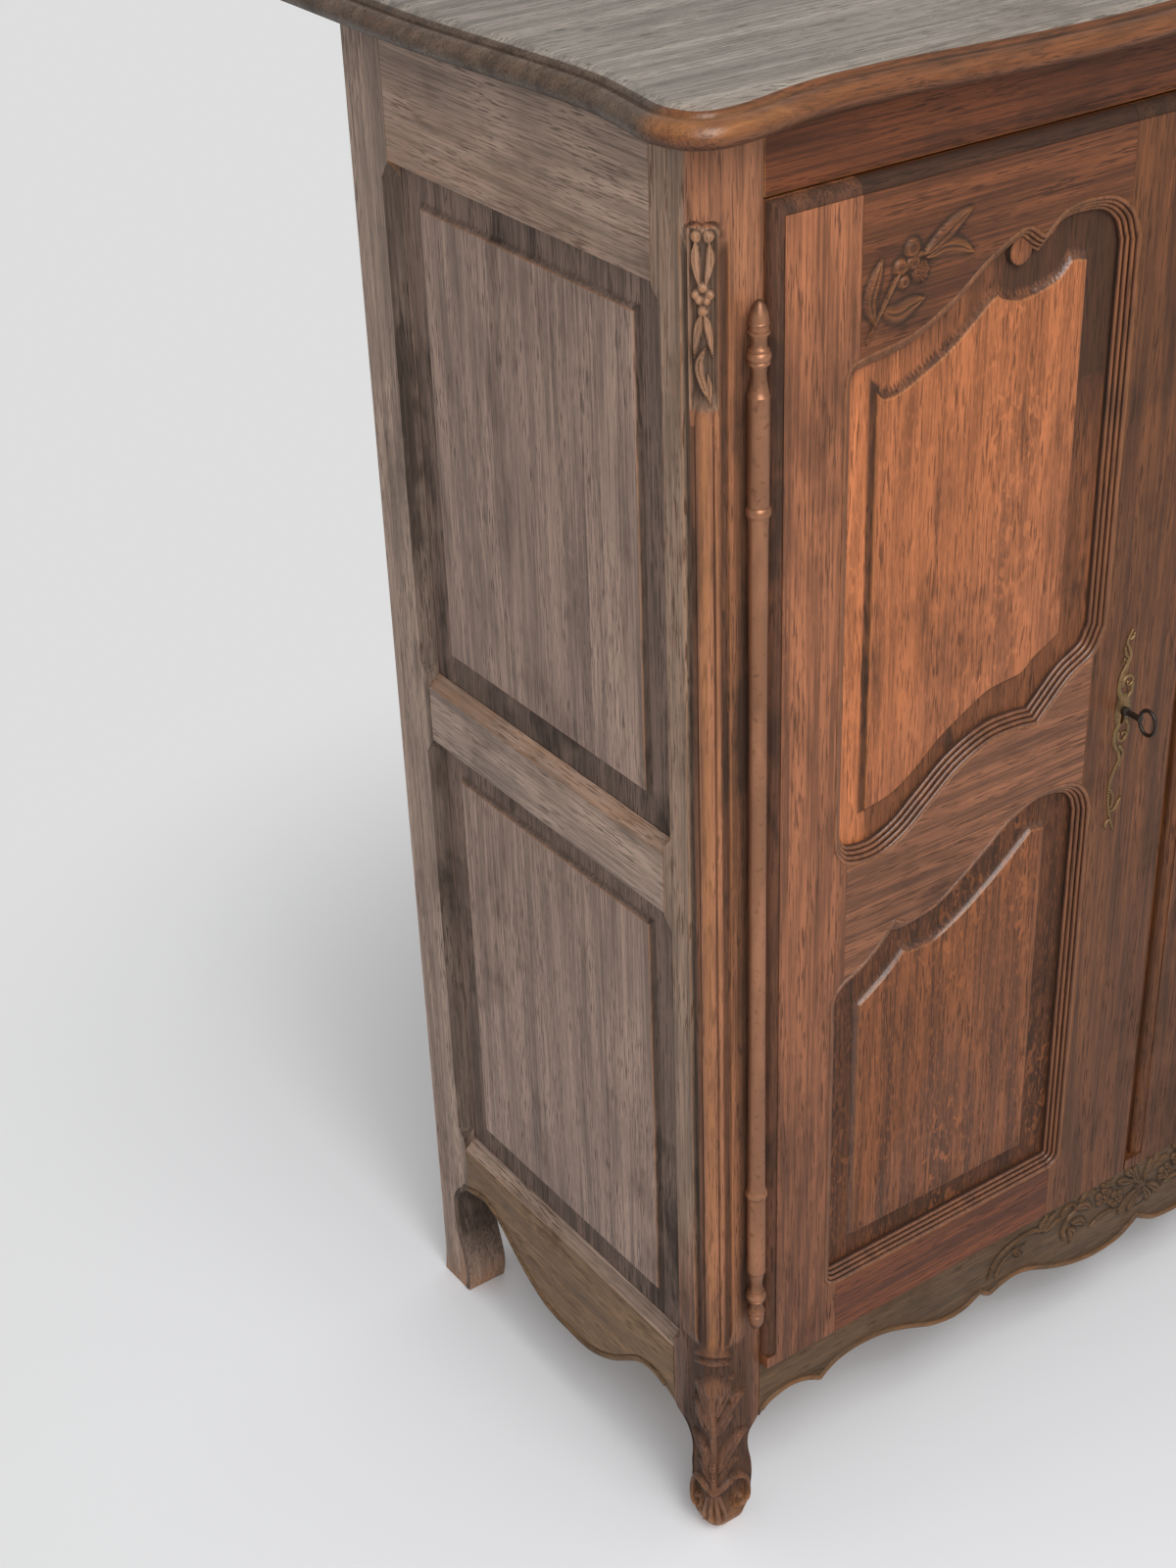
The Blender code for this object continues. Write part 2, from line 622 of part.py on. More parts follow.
def key():
    """Iron key: oval bow, round shank with a collar, and a bit."""
    bow_y = DOOR_Y[0] - KEY_REACH + KEY_BOW[0] + KEY_WIRE
    bm = bmesh.new()
    sides, around = 20, 8
    rows = []
    for i in range(sides):
        a = 2 * math.pi * i / sides
        row = []
        for j in range(around):
            b = 2 * math.pi * j / around
            out = KEY_WIRE * math.cos(b)
            y = bow_y + (KEY_BOW[0] + out) * math.cos(a)
            z = KEY_Z + (KEY_BOW[1] + out) * math.sin(a)
            row.append(bm.verts.new(left(KEY_U + KEY_WIRE * math.sin(b), y, z)))
        rows.append(row)
    for i in range(sides):
        for j in range(around):
            k = (j + 1) % around
            bm.faces.new((rows[i - 1][j], rows[i][j], rows[i][k], rows[i - 1][k]))
    bow = closed_mesh(bm)
    back = DOOR_Y[1] + FIT + CASE_SIZE[1] - CASE_WALL - 0.001
    shank = rod_y(KEY_U, KEY_Z, KEY_R, bow_y + KEY_BOW[0] - 0.0008, back)
    plate_face = DOOR_Y[0] - FIT - ESC_T
    collar = rod_y(KEY_U, KEY_Z, KEY_R + 0.0016, plate_face - 0.0045, plate_face - 0.001)
    bit = box((KEY_U - 0.0013, DOOR_Y[1] + 0.003, KEY_Z - KEY_BIT_R), (KEY_U + 0.0013, back - 0.001, KEY_Z))
    return combine(shank, adds=[bow, collar, bit])


def lock_bolt_box():
    """Corners of the lock bolt when it is drawn back."""
    u1 = DOOR_U[1] - 0.0065
    y0 = DOOR_Y[1] + 0.003
    return ((u1 - BOLT_L, y0, KEY_Z + BOLT_Z[0]), (u1, y0 + BOLT_T, KEY_Z + BOLT_Z[1]))


def lock_case():
    """Rim lock case, open towards the door, with the slot for its bolt."""
    w, d, h = CASE_SIZE
    u1 = DOOR_U[1] - 0.006
    y0 = DOOR_Y[1] + FIT
    z0 = KEY_Z - CASE_DROP
    low, high = (u1 - w, y0, z0), (u1, y0 + d, z0 + h)
    wall = CASE_WALL
    hollow = box((low[0] + wall, y0 - 0.002, z0 + wall), (u1 - wall, high[1] - wall, high[2] - wall))
    bolt_low, bolt_high = lock_bolt_box()
    slot = grown(bolt_low, (u1 + 0.004, bolt_high[1], bolt_high[2]), BOLT_PLAY)
    return combine(box(low, high), cuts=[hollow, slot])


def lock_keep():
    """Keep on the closing strip, with the pocket that the lock bolt enters."""
    w, d, h = KEEP_SIZE
    bolt_low, bolt_high = lock_bolt_box()
    u0 = STRIP_X[0] + HALF + 0.001
    y0 = DOOR_Y[1] + FIT
    mid = (bolt_low[2] + bolt_high[2]) / 2
    block = box((u0, y0, mid - h / 2), (u0 + w, y0 + d, mid + h / 2))
    pocket = grown((u0 - 0.005, bolt_low[1], bolt_low[2]),
                   (u0 + w * 0.75, bolt_high[1], bolt_high[2]), BOLT_PLAY)
    return combine(block, cuts=[pocket])


def slide_bolt(end, into):
    """Slide bolt on the closing strip; end is its free tip, into the way it slides."""
    heights = sorted((end, end - into * SLIDE_L))
    bar = middle_box((-SLIDE_W / 2, SLIDE_Y, heights[0]), (SLIDE_W / 2, SLIDE_Y + SLIDE_T, heights[1]))
    knob_z = end - into * KNOB_AT
    knob = rod_y(HALF, knob_z, 0.0045, SLIDE_Y + SLIDE_T - 0.002, SLIDE_Y + SLIDE_T + 0.011, 12)
    return combine(bar, adds=[knob])


def bolt_guide(end, into):
    """Block on the closing strip that a slide bolt runs through."""
    w, d, h = GUIDE_SIZE
    y0 = DOOR_Y[1] + FIT
    mid = end - into * GUIDE_AT
    block = middle_box((-w / 2, y0, mid - h / 2), (w / 2, y0 + d, mid + h / 2))
    half = SLIDE_W / 2 + BOLT_PLAY
    slot = middle_box((-half, SLIDE_Y - BOLT_PLAY, mid - h), (half, SLIDE_Y + SLIDE_T + BOLT_PLAY, mid + h))
    return combine(block, cuts=[slot])


def side_rail_tenons():
    """Heights of the tenons of the side rails."""
    return {
        "top": (SIDE_TOP_Z + 0.013, POST_H - 0.017),
        "middle": (SIDE_MID_Z[0] + 0.012, SIDE_MID_Z[1] - 0.015),
        "bottom": (SIDE_LOW_Z[1] - 0.0555, SIDE_LOW_Z[1] - 0.0155),
    }


def side_tenon_boxes(heights):
    """Corners of the front and rear tenon of one side rail."""
    (u0, u1), (z0, z1) = TENON_U, heights
    front = ((u0, POST_D - TENON_L, z0), (u1, POST_D + 0.006, z1))
    rear = ((u0, REAR_Y - 0.006, z0), (u1, REAR_Y + TENON_L, z1))
    return front, rear


def side_rail(name):
    """One rail of the left side, grooved for its panels."""
    a, b = SIDE_GROOVE_U, SIDE_GROOVE_U + GROOVE_T
    deep, c = GROOVE_DEPTH, CHAMFER
    if name == "top":
        z0, z1 = SIDE_TOP_Z, POST_H
        section = [(0, z0), (0, z1), (SIDE_T, z1), (SIDE_T, z0),
                   (b, z0), (b, z0 + deep), (a, z0 + deep), (a, z0)]
    elif name == "middle":
        z0, z1 = SIDE_MID_Z
        section = [(0, z0), (0, z1 - c), (c, z1), (a, z1), (a, z1 - deep), (b, z1 - deep), (b, z1),
                   (SIDE_T, z1), (SIDE_T, z0), (b, z0), (b, z0 + deep), (a, z0 + deep), (a, z0)]
    else:
        z0, z1 = SIDE_LOW_Z
        section = [(0, z0), (0, z1 - c), (c, z1), (a, z1), (a, z1 - deep), (b, z1 - deep), (b, z1),
                   (SIDE_T, z1), (SIDE_T, z0)]
    body = prism_y(section, POST_D + FIT, REAR_Y - FIT)
    cuts = []
    if name == "bottom":
        cuts.append(side_scallop())
        cuts.append(box((SIDE_T - FLOOR_HOUSING, POST_D - 0.001, TONGUE_Z[0] - FIT),
                        (SIDE_T + 0.002, REAR_Y + 0.001, TONGUE_Z[1] + FIT)))
    tenons = [box(*corners) for corners in side_tenon_boxes(side_rail_tenons()[name])]
    return combine(body, adds=tenons, cuts=cuts)


def side_scallop():
    """Waste below the shaped lower edge of the side."""
    shape = ((0, 0.629), (0.08, 0.6765), (0.167, 0.647), (0.278, 0.510), (0.389, 0.424), (0.5, 0.4145),
             (0.61, 0.433), (0.72, 0.5285), (0.831, 0.674), (0.914, 0.7245), (1, 0.688))
    run, top = REAR_Y - POST_D, SIDE_LOW_Z[1]
    curve = [(p.x, p.y) for p in smooth([(POST_D + f * run, z * top) for f, z in shape])]
    outline = [(POST_D - 0.001, curve[0][1])] + curve[1:-1] + [(REAR_Y + 0.001, curve[-1][1])]
    return prism_u(outline + [(REAR_Y + 0.001, 0.02), (POST_D - 0.001, 0.02)], -0.01, SIDE_T + 0.01)


def side_panel(z0, z1):
    """Raised panel of the left side between the edges of two rails."""
    u0 = SIDE_GROOVE_U + FIT
    t, m = TONGUE_DEPTH, SIDE_FIELD_MARGIN
    board = box((u0, POST_D - t, z0 - t), (u0 + GROOVE_T - 2 * FIT, REAR_Y + t, z1 + t))
    rings = []
    for u, extra in ((u0 + 0.002, FIELD_BEVEL), (u0, FIELD_BEVEL), (u0 - FIELD_RAISE, 0)):
        a, b = POST_D + m - extra, REAR_Y - m + extra
        c, d = z0 + m - extra, z1 - m + extra
        rings.append([left(u, a, c), left(u, b, c), left(u, b, d), left(u, a, d)])
    return combine(board, adds=[rings_solid(rings)])


def stopped_chamfer(edge_y, into, z0, z1):
    """Waste of a chamfer on the outer edge of a post, run out at both ends."""
    rings = []
    for z, c in ((z0, -0.0005), (z0 + CHAMFER_STOP, CHAMFER), (z1 - CHAMFER_STOP, CHAMFER), (z1, -0.0005)):
        over = edge_y - into * 0.001
        rings.append([left(c + 0.001, over, z), left(-0.001, edge_y + into * (c + 0.001), z),
                      left(-0.001, over, z)])
    return rings_solid(rings)


def post_side_cuts(edge_y, into):
    """Mortises, panel groove and chamfers on the side face of a post."""
    cuts = []
    which = 0 if into < 0 else 1
    for heights in side_rail_tenons().values():
        cuts.append(grown(*side_tenon_boxes(heights)[which], FIT))
    ys = sorted((edge_y + into * GROOVE_DEPTH, edge_y - into * 0.002))
    z_low, z_high = SIDE_LOW_Z[1] - GROOVE_DEPTH, SIDE_TOP_Z + GROOVE_DEPTH
    cuts.append(box((SIDE_GROOVE_U, ys[0], z_low), (SIDE_GROOVE_U + GROOVE_T, ys[1], z_high)))
    for z0, z1 in ((SIDE_LOW_Z[1] - 0.004, SIDE_MID_Z[0]), (SIDE_MID_Z[1] - 0.004, SIDE_TOP_Z)):
        cuts.append(stopped_chamfer(edge_y, into, z0, z1))
    return cuts


def front_post_ring(z, width, depth, swell, quirk, radius):
    """Plan of the front post at one height: swelling corner with a bead and two quirks."""
    flat = -min(swell, 0)
    reach = radius - swell
    k = radius / CORNER_R
    plan = [(width, depth), (flat, depth), (flat, reach + 0.009 * k), (quirk - swell, reach + 0.005 * k)]
    for i in range(5):
        a = math.radians(180 + 22.5 * i)
        plan.append((reach + radius * math.cos(a), reach + radius * math.sin(a)))
    plan += [(reach + 0.005 * k, quirk - swell), (reach + 0.009 * k, flat), (width, flat)]
    return [left(u, y, z) for u, y in plan]


def front_post():
    """Left front post with its scroll foot, knee and corner column."""
    w, d = POST_W, POST_D
    foot = ((0, 0.70, 0.52, -1.8, 0.516), (0.046, 0.757, 0.563, -0.8, 0.645), (0.115, 0.81, 0.588, 0, 0.774),
            (0.2, 0.838, 0.597, 0.4, 0.839), (0.277, 0.847, 0.58, 0.24, 0.839), (0.373, 0.82, 0.605, -0.4, 0.774),
            (0.435, 0.838, 0.672, -0.4, 0.774), (0.485, 0.92, 0.80, -0.2, 0.839), (0.538, 1, 1, 0.2, 0.903),
            (0.635, 1, 1, 0.7, 0.903), (0.769, 1, 1, 1, 0.903), (0.885, 1, 1, 0.9, 0.903), (0.969, 1, 1, 0.2, 1))
    rings = []
    for z, width, depth, swell, radius in foot:
        rings.append(front_post_ring(z * KNEE_H, width * w, depth * d, swell * KNEE_SWELL, 0,
                                     radius * CORNER_R))
    column_top = POST_H - COLUMN_DROP
    for z, quirk in ((KNEE_H, QUIRK), (column_top, QUIRK), (column_top + COLUMN_END, 0), (POST_H, 0)):
        rings.append(front_post_ring(z, w, d, 0, quirk, CORNER_R))
    cuts = post_side_cuts(POST_D, -1)
    for corners in front_tenon_boxes():
        cuts.append(grown(*corners))
    for upper in (True, False):
        cuts.append(grown(*plate_box(upper)))
    return combine(rings_solid(rings), cuts=cuts)


def rear_post():
    """Left rear post with its sawn foot."""
    foot = ((0, 0.952, 1), (0.118, 0.738, 0.375), (0.209, 0.714, 0), (0.327, 0.786, 0), (0.49, 0.952, 0),
            (0.654, 1, 0), (0.824, 0.905, 0), (0.928, 0.524, 0), (1, 0, 0))
    levels = [(z * REAR_FOOT_H, cut * REAR_FOOT_CUT, flare * REAR_FOOT_FLARE) for z, cut, flare in foot]
    rings = []
    for z, cut, flare in levels + [(POST_H, 0, 0)]:
        y0, y1 = REAR_Y + cut, BODY_D + flare
        rings.append([left(0, y0, z), left(REAR_W, y0, z), left(REAR_W, y1, z), left(0, y1, z)])
    cuts = post_side_cuts(REAR_Y, 1)
    for low, high in back_rail_heights().values():
        cuts.append(grown(*back_tenon_box(low, high)))
    groove_z = (BACK_LOW_Z[1] - GROOVE_DEPTH, POST_H - BACK_TOP_H + GROOVE_DEPTH)
    cuts.append(box((REAR_W - GROOVE_DEPTH, BACK_GROOVE_Y, groove_z[0]),
                    (REAR_W + 0.002, BACK_GROOVE_Y + GROOVE_T, groove_z[1])))
    return combine(rings_solid(rings), cuts=cuts)


def front_tenon_boxes():
    """Corners of the left tenons of the frieze rail and the apron rail."""
    y0, y1 = FRONT_TENON_Y
    frieze = ((POST_W - TENON_L, y0, OPEN_Z[1] + 0.0105), (POST_W + 0.006, y1, POST_H - 0.010))
    apron = ((POST_W - TENON_L, y0, OPEN_Z[0] - 0.046), (POST_W + 0.006, y1, OPEN_Z[0] - 0.019))
    return frieze, apron


def both_sides(corners):
    """Box of the left half and its mirror image."""
    one = box(*corners)
    return [one, mirrored(one)]


def frieze_rail():
    """Rail above the doors."""
    u0 = POST_W + FIT
    body = box((u0, 0, OPEN_Z[1]), (BODY_W - u0, FRONT_T, POST_H))
    return combine(body, adds=both_sides(front_tenon_boxes()[0]))


def apron_rail():
    """Shaped rail below the doors, housed for the floor board."""
    clear = HALF - POST_W
    runs = (((0, 0.662), (0.021, 0.715), (0.053, 0.7425), (0.078, 0.7475), (0.112, 0.727), (0.148, 0.674)),
            ((0.148, 0.674), (0.171, 0.72), (0.203, 0.7525), (0.247, 0.7625), (0.306, 0.745), (0.366, 0.6895),
             (0.425, 0.621), (0.479, 0.5885), (0.520, 0.5985), (0.558, 0.6415)),
            ((0.558, 0.6415), (0.572, 0.6135), (0.586, 0.5935)),
            ((0.586, 0.5935), (0.615, 0.621), (0.653, 0.634), (0.693, 0.611), (0.762, 0.53), (0.826, 0.477),
             (0.887, 0.457), (0.945, 0.475), (0.978, 0.515), (1, 0.553)))
    half = []
    for run in runs:
        points = smooth([(POST_W + f * clear, z * OPEN_LOW) for f, z in run])
        half += points if not half else points[1:]
    half[0] = Vector((POST_W + FIT, half[0].y))
    edge = [(p.x, p.y) for p in half] + [(BODY_W - p.x, p.y) for p in reversed(half[:-1])]
    outline = edge + [(edge[-1][0], OPEN_Z[0]), (edge[0][0], OPEN_Z[0])]
    housing = box((POST_W - 0.001, FRONT_T - FLOOR_HOUSING, TONGUE_Z[0] - FIT),
                  (BODY_W - POST_W + 0.001, FRONT_T + 0.002, TONGUE_Z[1] + FIT))
    return combine(prism_y(outline, 0, FRONT_T), adds=both_sides(front_tenon_boxes()[1]), cuts=[housing])


def back_rail_heights():
    """Heights of the tenons of the two back rails."""
    top = POST_H - BACK_TOP_H
    return {"top": (top + 0.020, POST_H - 0.015), "bottom": (BACK_LOW_Z[0] + 0.012, BACK_LOW_Z[1] - 0.032)}


def back_tenon_box(low, high):
    """Corners of the left tenon of a back rail."""
    y0 = BACK_GROOVE_Y
    return ((REAR_W - 0.020, y0, low), (REAR_W + 0.006, y0 + GROOVE_T, high))


def back_rail(name):
    """Rail of the framed back, grooved for the panels and mortised for the upright."""
    top = name == "top"
    z0, z1 = (POST_H - BACK_TOP_H, POST_H) if top else BACK_LOW_Z
    u0 = REAR_W + FIT
    body = box((u0, BACK_Y, z0), (BODY_W - u0, BACK_Y + BACK_T, z1))
    inner = sorted((z0 - 0.002, z0 + GROOVE_DEPTH)) if top else (z1 - GROOVE_DEPTH, z1 + 0.002)
    cuts = [box((u0 - 0.002, BACK_GROOVE_Y, inner[0]),
                (BODY_W - u0 + 0.002, BACK_GROOVE_Y + GROOVE_T, inner[1]))]
    cuts.append(grown(*muntin_tenon(top)))
    if not top:
        cuts.append(box((u0 - 0.002, BACK_Y - 0.002, TONGUE_Z[0] - FIT),
                        (BODY_W - u0 + 0.002, BACK_Y + FLOOR_HOUSING, TONGUE_Z[1] + FIT)))
    return combine(body, adds=both_sides(back_tenon_box(*back_rail_heights()[name])), cuts=cuts)


def muntin_tenon(top):
    """Corners of the tenon at one end of the back upright."""
    half = MUNTIN_W / 2 - 0.012
    z0, z1 = POST_H - BACK_TOP_H - 0.004, POST_H - BACK_TOP_H + 0.020
    if not top:
        z0, z1 = BACK_LOW_Z[1] - 0.020, BACK_LOW_Z[1] + 0.004
    inset_y = FIT
    return ((HALF - half, BACK_GROOVE_Y + inset_y, z0), (HALF + half, BACK_GROOVE_Y + GROOVE_T - inset_y, z1))


def back_muntin():
    """Upright in the middle of the back, grooved on both edges."""
    half = MUNTIN_W / 2
    low, high = BACK_LOW_Z[1] + FIT, POST_H - BACK_TOP_H - FIT
    body = middle_box((-half, BACK_Y, low), (half, BACK_Y + BACK_T, high))
    groove = box((HALF - half - 0.002, BACK_GROOVE_Y, low - 0.002),
                 (HALF - half + GROOVE_DEPTH, BACK_GROOVE_Y + GROOVE_T, high + 0.002))
    tenons = [box(*muntin_tenon(top)) for top in (True, False)]
    return combine(body, adds=tenons, cuts=[groove, mirrored(groove)])


def back_panel():
    """Left panel of the back, its four edges in the grooves."""
    t = TONGUE_DEPTH
    y0 = BACK_GROOVE_Y + FIT
    return box((REAR_W - t, y0, BACK_LOW_Z[1] - t),
               (HALF - MUNTIN_W / 2 + t, y0 + GROOVE_T - 2 * FIT, POST_H - BACK_TOP_H + t))


def floor_outline(into):
    """Plan of the floor board, notched round the posts, reaching a distance into the rails."""
    a, front, back = SIDE_T + FIT - into, FRONT_T + FIT - into, BACK_Y - FIT + into
    pw, pd = POST_W + FIT, POST_D + FIT
    rw, rd = REAR_W + FIT, REAR_Y - FIT
    half = [(pw, front), (pw, pd), (a, pd), (a, rd), (rw, rd), (rw, back)]
    return half + [(BODY_W - u, y) for u, y in reversed(half)]


def floor_board():
    """Floor board with a tongue all round, and the hole for the lower slide bolt."""
    low = FLOOR_TOP - FLOOR_T
    tongue = prism_z(floor_outline(FLOOR_HOUSING), *TONGUE_Z)
    side = SLIDE_W / 2 + 0.001
    hole = middle_box((-side, SLIDE_Y - 0.0005, low - 0.002),
                      (side, SLIDE_Y + SLIDE_T + 0.001, FLOOR_TOP + 0.002))
    return combine(prism_z(floor_outline(0), low, FLOOR_TOP), adds=[tongue], cuts=[hole])


def shelf(top):
    """Shelf, notched round the rear posts."""
    a, back = SIDE_T + FIT, BACK_Y - FIT
    rw, rd = REAR_W + FIT, REAR_Y - FIT
    half = [(a, SHELF_FRONT), (a, rd), (rw, rd), (rw, back)]
    outline = half + [(BODY_W - u, y) for u, y in reversed(half)]
    return prism_z(outline, top - SHELF_T, top)


def shelf_cleat(top):
    """Bearer under one end of a shelf, between the posts."""
    z1 = top - SHELF_T - FIT
    return box((SIDE_T, POST_D + FIT, z1 - CLEAT_H), (SIDE_T + CLEAT_W, REAR_Y - FIT, z1))


def top_board():
    """Moulded top with eared corners, wavy front and swelling ends."""
    front = ((1, 0.783), (0.857, 0.859), (0.714, 0.957), (0.607, 1), (0.5, 0.935), (0.393, 0.815),
             (0.295, 0.685), (0.196, 0.652), (0.125, 0.739), (0.0625, 0.913), (0.009, 1))
    corner = ((0.391, 0.935), (0.783, 0.652), (0.978, 0.174))
    side = ((0.025, 1), (0.104, 0.87), (0.1875, 0.772), (0.281, 0.804), (0.396, 0.891), (0.5, 0.978),
            (0.625, 1.065), (0.75, 1.087))
    points = [(HALF * f, -over * TOP_OVER) for f, over in front]
    points += [(-u * TOP_OVER, -y * TOP_OVER) for u, y in corner]
    points += [(-over * TOP_OVER, BODY_D * f) for f, over in side]
    half = smooth(points) + [Vector((points[-1][0], BODY_D + TOP_BACK))]
    profile = ((0.583, 0), (0.208, 0.10), (0, 0.37), (0.125, 0.62), (0.417, 0.76), (0.583, 0.76),
               (0.75, 0.89), (1, 1))
    rings = []
    for step, rise in profile:
        ring = []
        for i, point in enumerate(half):
            before = half[max(i - 1, 0)]
            after = half[min(i + 1, len(half) - 1)]
            along = (after - before).normalized()
            normal = Vector((along.y, -along.x))
            if i == 0:
                normal = Vector((0, 1))
            if i == len(half) - 1:
                normal = Vector((1, 0))
            ring.append(point + normal * (step * TOP_EDGE))
        z = POST_H + FIT + rise * TOP_T
        whole = ring[::-1] + [Vector((BODY_W - p.x, p.y)) for p in ring[1:]]
        rings.append([left(p.x, p.y, z) for p in whole])
    return rings_solid(rings)


def main():
    """Build every node and hang it on its body."""
    for old in list(bpy.data.objects):
        bpy.data.objects.remove(old, do_unlink=True)
    links = bpy.context.scene.collection.objects
    finishes = {name: make_finish(name) for name in FINISHES}
    holders = {}

    def holder(name, place, parent=None):
        """Empty that carries one body, on the axis of its joint."""
        empty = bpy.data.objects.new(name, None)
        links.link(empty)
        empty.parent = parent
        empty.location = place if parent is None else Vector(place) - holders[parent.name][1]
        holders[name] = (empty, Vector(place) if parent else Vector((0, 0, 0)))
        return empty

    def node(name, mesh, finish, body="carcass_frame"):
        """Hang one mesh on a body under its own name."""
        empty, place = holders[body]
        mesh.transform(Matrix.Translation(-place))
        mesh.name = name
        mesh.materials.clear()
        mesh.materials.append(finishes[finish])
        item = bpy.data.objects.new(name, mesh)
        links.link(item)
        item.parent = empty

    root = holder("carcass_frame", (0, FRONT_Y, 0))
    left_door = holder("left_door_axis", left(HINGE_U, HINGE_Y, OPEN_Z[0]), root)
    right_door = holder("right_door_axis", left(BODY_W - HINGE_U, HINGE_Y, OPEN_Z[0]), root)
    holder("key_axis", left(KEY_U, DOOR_Y[0], KEY_Z), left_door)
    holder("lock_bolt_axis", left(*lock_bolt_box()[0]), left_door)
    holder("upper_bolt_axis", Vector((0, SLIDE_Y, DOOR_Z[1])), right_door)
    holder("lower_bolt_axis", Vector((0, SLIDE_Y, DOOR_Z[0])), right_door)

    for side in ("left", "right"):
        turn = mirrored if side == "right" else as_drawn
        node(side + "_front_post", turn(front_post()), "post_oak")
        node(side + "_rear_post", turn(rear_post()), "side_oak")
        for name in ("top", "middle", "bottom"):
            node(f"{side}_side_{name}_rail", turn(side_rail(name)), "side_oak")
        node(side + "_side_upper_panel", turn(side_panel(SIDE_MID_Z[1], SIDE_TOP_Z)), "side_oak")
        node(side + "_side_lower_panel", turn(side_panel(SIDE_LOW_Z[1], SIDE_MID_Z[0])), "side_oak")
        node(side + "_back_panel", turn(back_panel()), "inner_oak")
        for name, top in SHELF_TOPS.items():
            node(f"{side}_{name}_shelf_cleat", turn(shelf_cleat(top)), "inner_oak")
        node(side + "_hinge_upper_knuckle", turn(knuckle(True)), "bronze")
        node(side + "_hinge_lower_knuckle", turn(knuckle(False)), "bronze")
        axis = side + "_door_axis"
        node(side + "_hinge_rod", turn(hinge_rod()), "bronze", axis)
        for name, mesh in door_frame(side == "left").items():
            finish = "panel_oak" if name.endswith("panel") else "front_oak"
            node(f"{side}_door_{name}", turn(mesh), finish, axis)

    node("frieze_rail", frieze_rail(), "post_oak")
    node("apron_rail", apron_rail(), "apron_oak")
    node("back_top_rail", back_rail("top"), "inner_oak")
    node("back_bottom_rail", back_rail("bottom"), "inner_oak")
    node("back_muntin", back_muntin(), "inner_oak")
    node("top_board", top_board(), "top_oak")
    node("floor_board", floor_board(), "inner_oak")
    for name, top in SHELF_TOPS.items():
        node(name + "_shelf", shelf(top), "inner_oak")

    node("escutcheon", escutcheon(), "brass", "left_door_axis")
    node("lock_case", lock_case(), "iron", "left_door_axis")
    node("key", key(), "iron", "key_axis")
    node("lock_bolt", box(*lock_bolt_box()), "iron", "lock_bolt_axis")
    node("closing_strip", closing_strip(), "front_oak", "right_door_axis")
    node("lock_keep", lock_keep(), "iron", "right_door_axis")
    for name, end, into in (("upper", DOOR_Z[1] - SLIDE_END, 1), ("lower", DOOR_Z[0] + SLIDE_END, -1)):
        node(name + "_bolt_guide", bolt_guide(end, into), "iron", "right_door_axis")
        node(name + "_bolt", slide_bolt(end, into), "iron", name + "_bolt_axis")


main()
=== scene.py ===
"""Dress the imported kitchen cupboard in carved, waxed oak and set it in a small pale studio.

Plans are drawn in millimetres in the cupboard's own measure: u from the left side plane, y from the
front plane of the posts towards the back, z from the floor. The right half mirrors the left half.
"""
import math
from contextlib import contextmanager

import bmesh
import bpy
import numpy as np
from mathutils import Matrix, Vector
from mathutils.geometry import delaunay_2d_cdt, intersect_line_line_2d
from mathutils.kdtree import KDTree


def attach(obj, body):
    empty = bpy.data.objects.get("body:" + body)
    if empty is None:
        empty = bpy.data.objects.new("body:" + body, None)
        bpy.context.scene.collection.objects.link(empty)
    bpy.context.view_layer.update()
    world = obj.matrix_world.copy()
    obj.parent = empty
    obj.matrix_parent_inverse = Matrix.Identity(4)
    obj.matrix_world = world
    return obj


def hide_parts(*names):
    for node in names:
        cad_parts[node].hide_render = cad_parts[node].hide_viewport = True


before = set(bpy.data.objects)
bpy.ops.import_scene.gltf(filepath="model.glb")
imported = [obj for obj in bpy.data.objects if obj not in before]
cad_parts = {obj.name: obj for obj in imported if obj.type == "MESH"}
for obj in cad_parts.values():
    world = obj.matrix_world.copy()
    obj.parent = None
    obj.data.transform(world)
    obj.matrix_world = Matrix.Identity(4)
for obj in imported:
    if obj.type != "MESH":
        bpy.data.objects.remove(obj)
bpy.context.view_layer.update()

bl_info = {
    "name": "Carved Oak Cupboard",
    "version": (1, 0, 0),
    "blender": (4, 5, 0),
    "location": "3D View > Sidebar > Cupboard",
    "description": "Carved oak dressing for the packed kitchen cupboard",
    "category": "Object",
}

# Sizes repeated from the part, in millimetres
BODY_W = 1120.0
HALF = BODY_W / 2
BODY_D = 480.0
FRONT_Y = -220.0
POST_H = 1361.0
FIT = 0.3
POST_W, POST_D = 55.5, 59.5
REAR_D = 59.0
REAR_Y = BODY_D - REAR_D
CORNER_R = 15.5
QUIRK = 3.0
KNEE_H = 260.0
KNEE_SWELL = 5.0
SIDE_T, FRONT_T = 24.0, 22.0
SIDE_TOP_Z = POST_H - 118.0
SIDE_MID_Z = (700.0, 767.0)
SIDE_LOW_TOP = 219.5
CHAMFER, CHAMFER_STOP = 11.2, 16.0
GROOVE_U, GROOVE_T = 12.0, 6.6
TONGUE_DEPTH = 7.0
FIELD_MARGIN, FIELD_RAISE = 33.5, 5.0
OPEN_Z = (198.0, POST_H - 54.5)
DOOR_U = (56.5, 520.0)
DOOR_Z = (200.0, 1304.5)
DOOR_Y = (-10.0, 18.0)
HINGE_STILE_W, MEET_STILE_W = 81.5, 109.0
MOULD_W, MOULD_DEPTH, MOULD_LIP = 14.0, 12.0, 2.0
EDGE_R, EDGE_QUIRK, EDGE_STOP, EDGE_TOP_STOP = 9.5, 1.0, 12.0, 24.0
UPPER_LOW, UPPER_LOW_RISE = 721.0, 113.0
UPPER_SPRING, UPPER_RISE = 1172.0, 72.0
LOWER_LOW, LOWER_SPRING, LOWER_RISE = 260.0, 606.0, 108.0
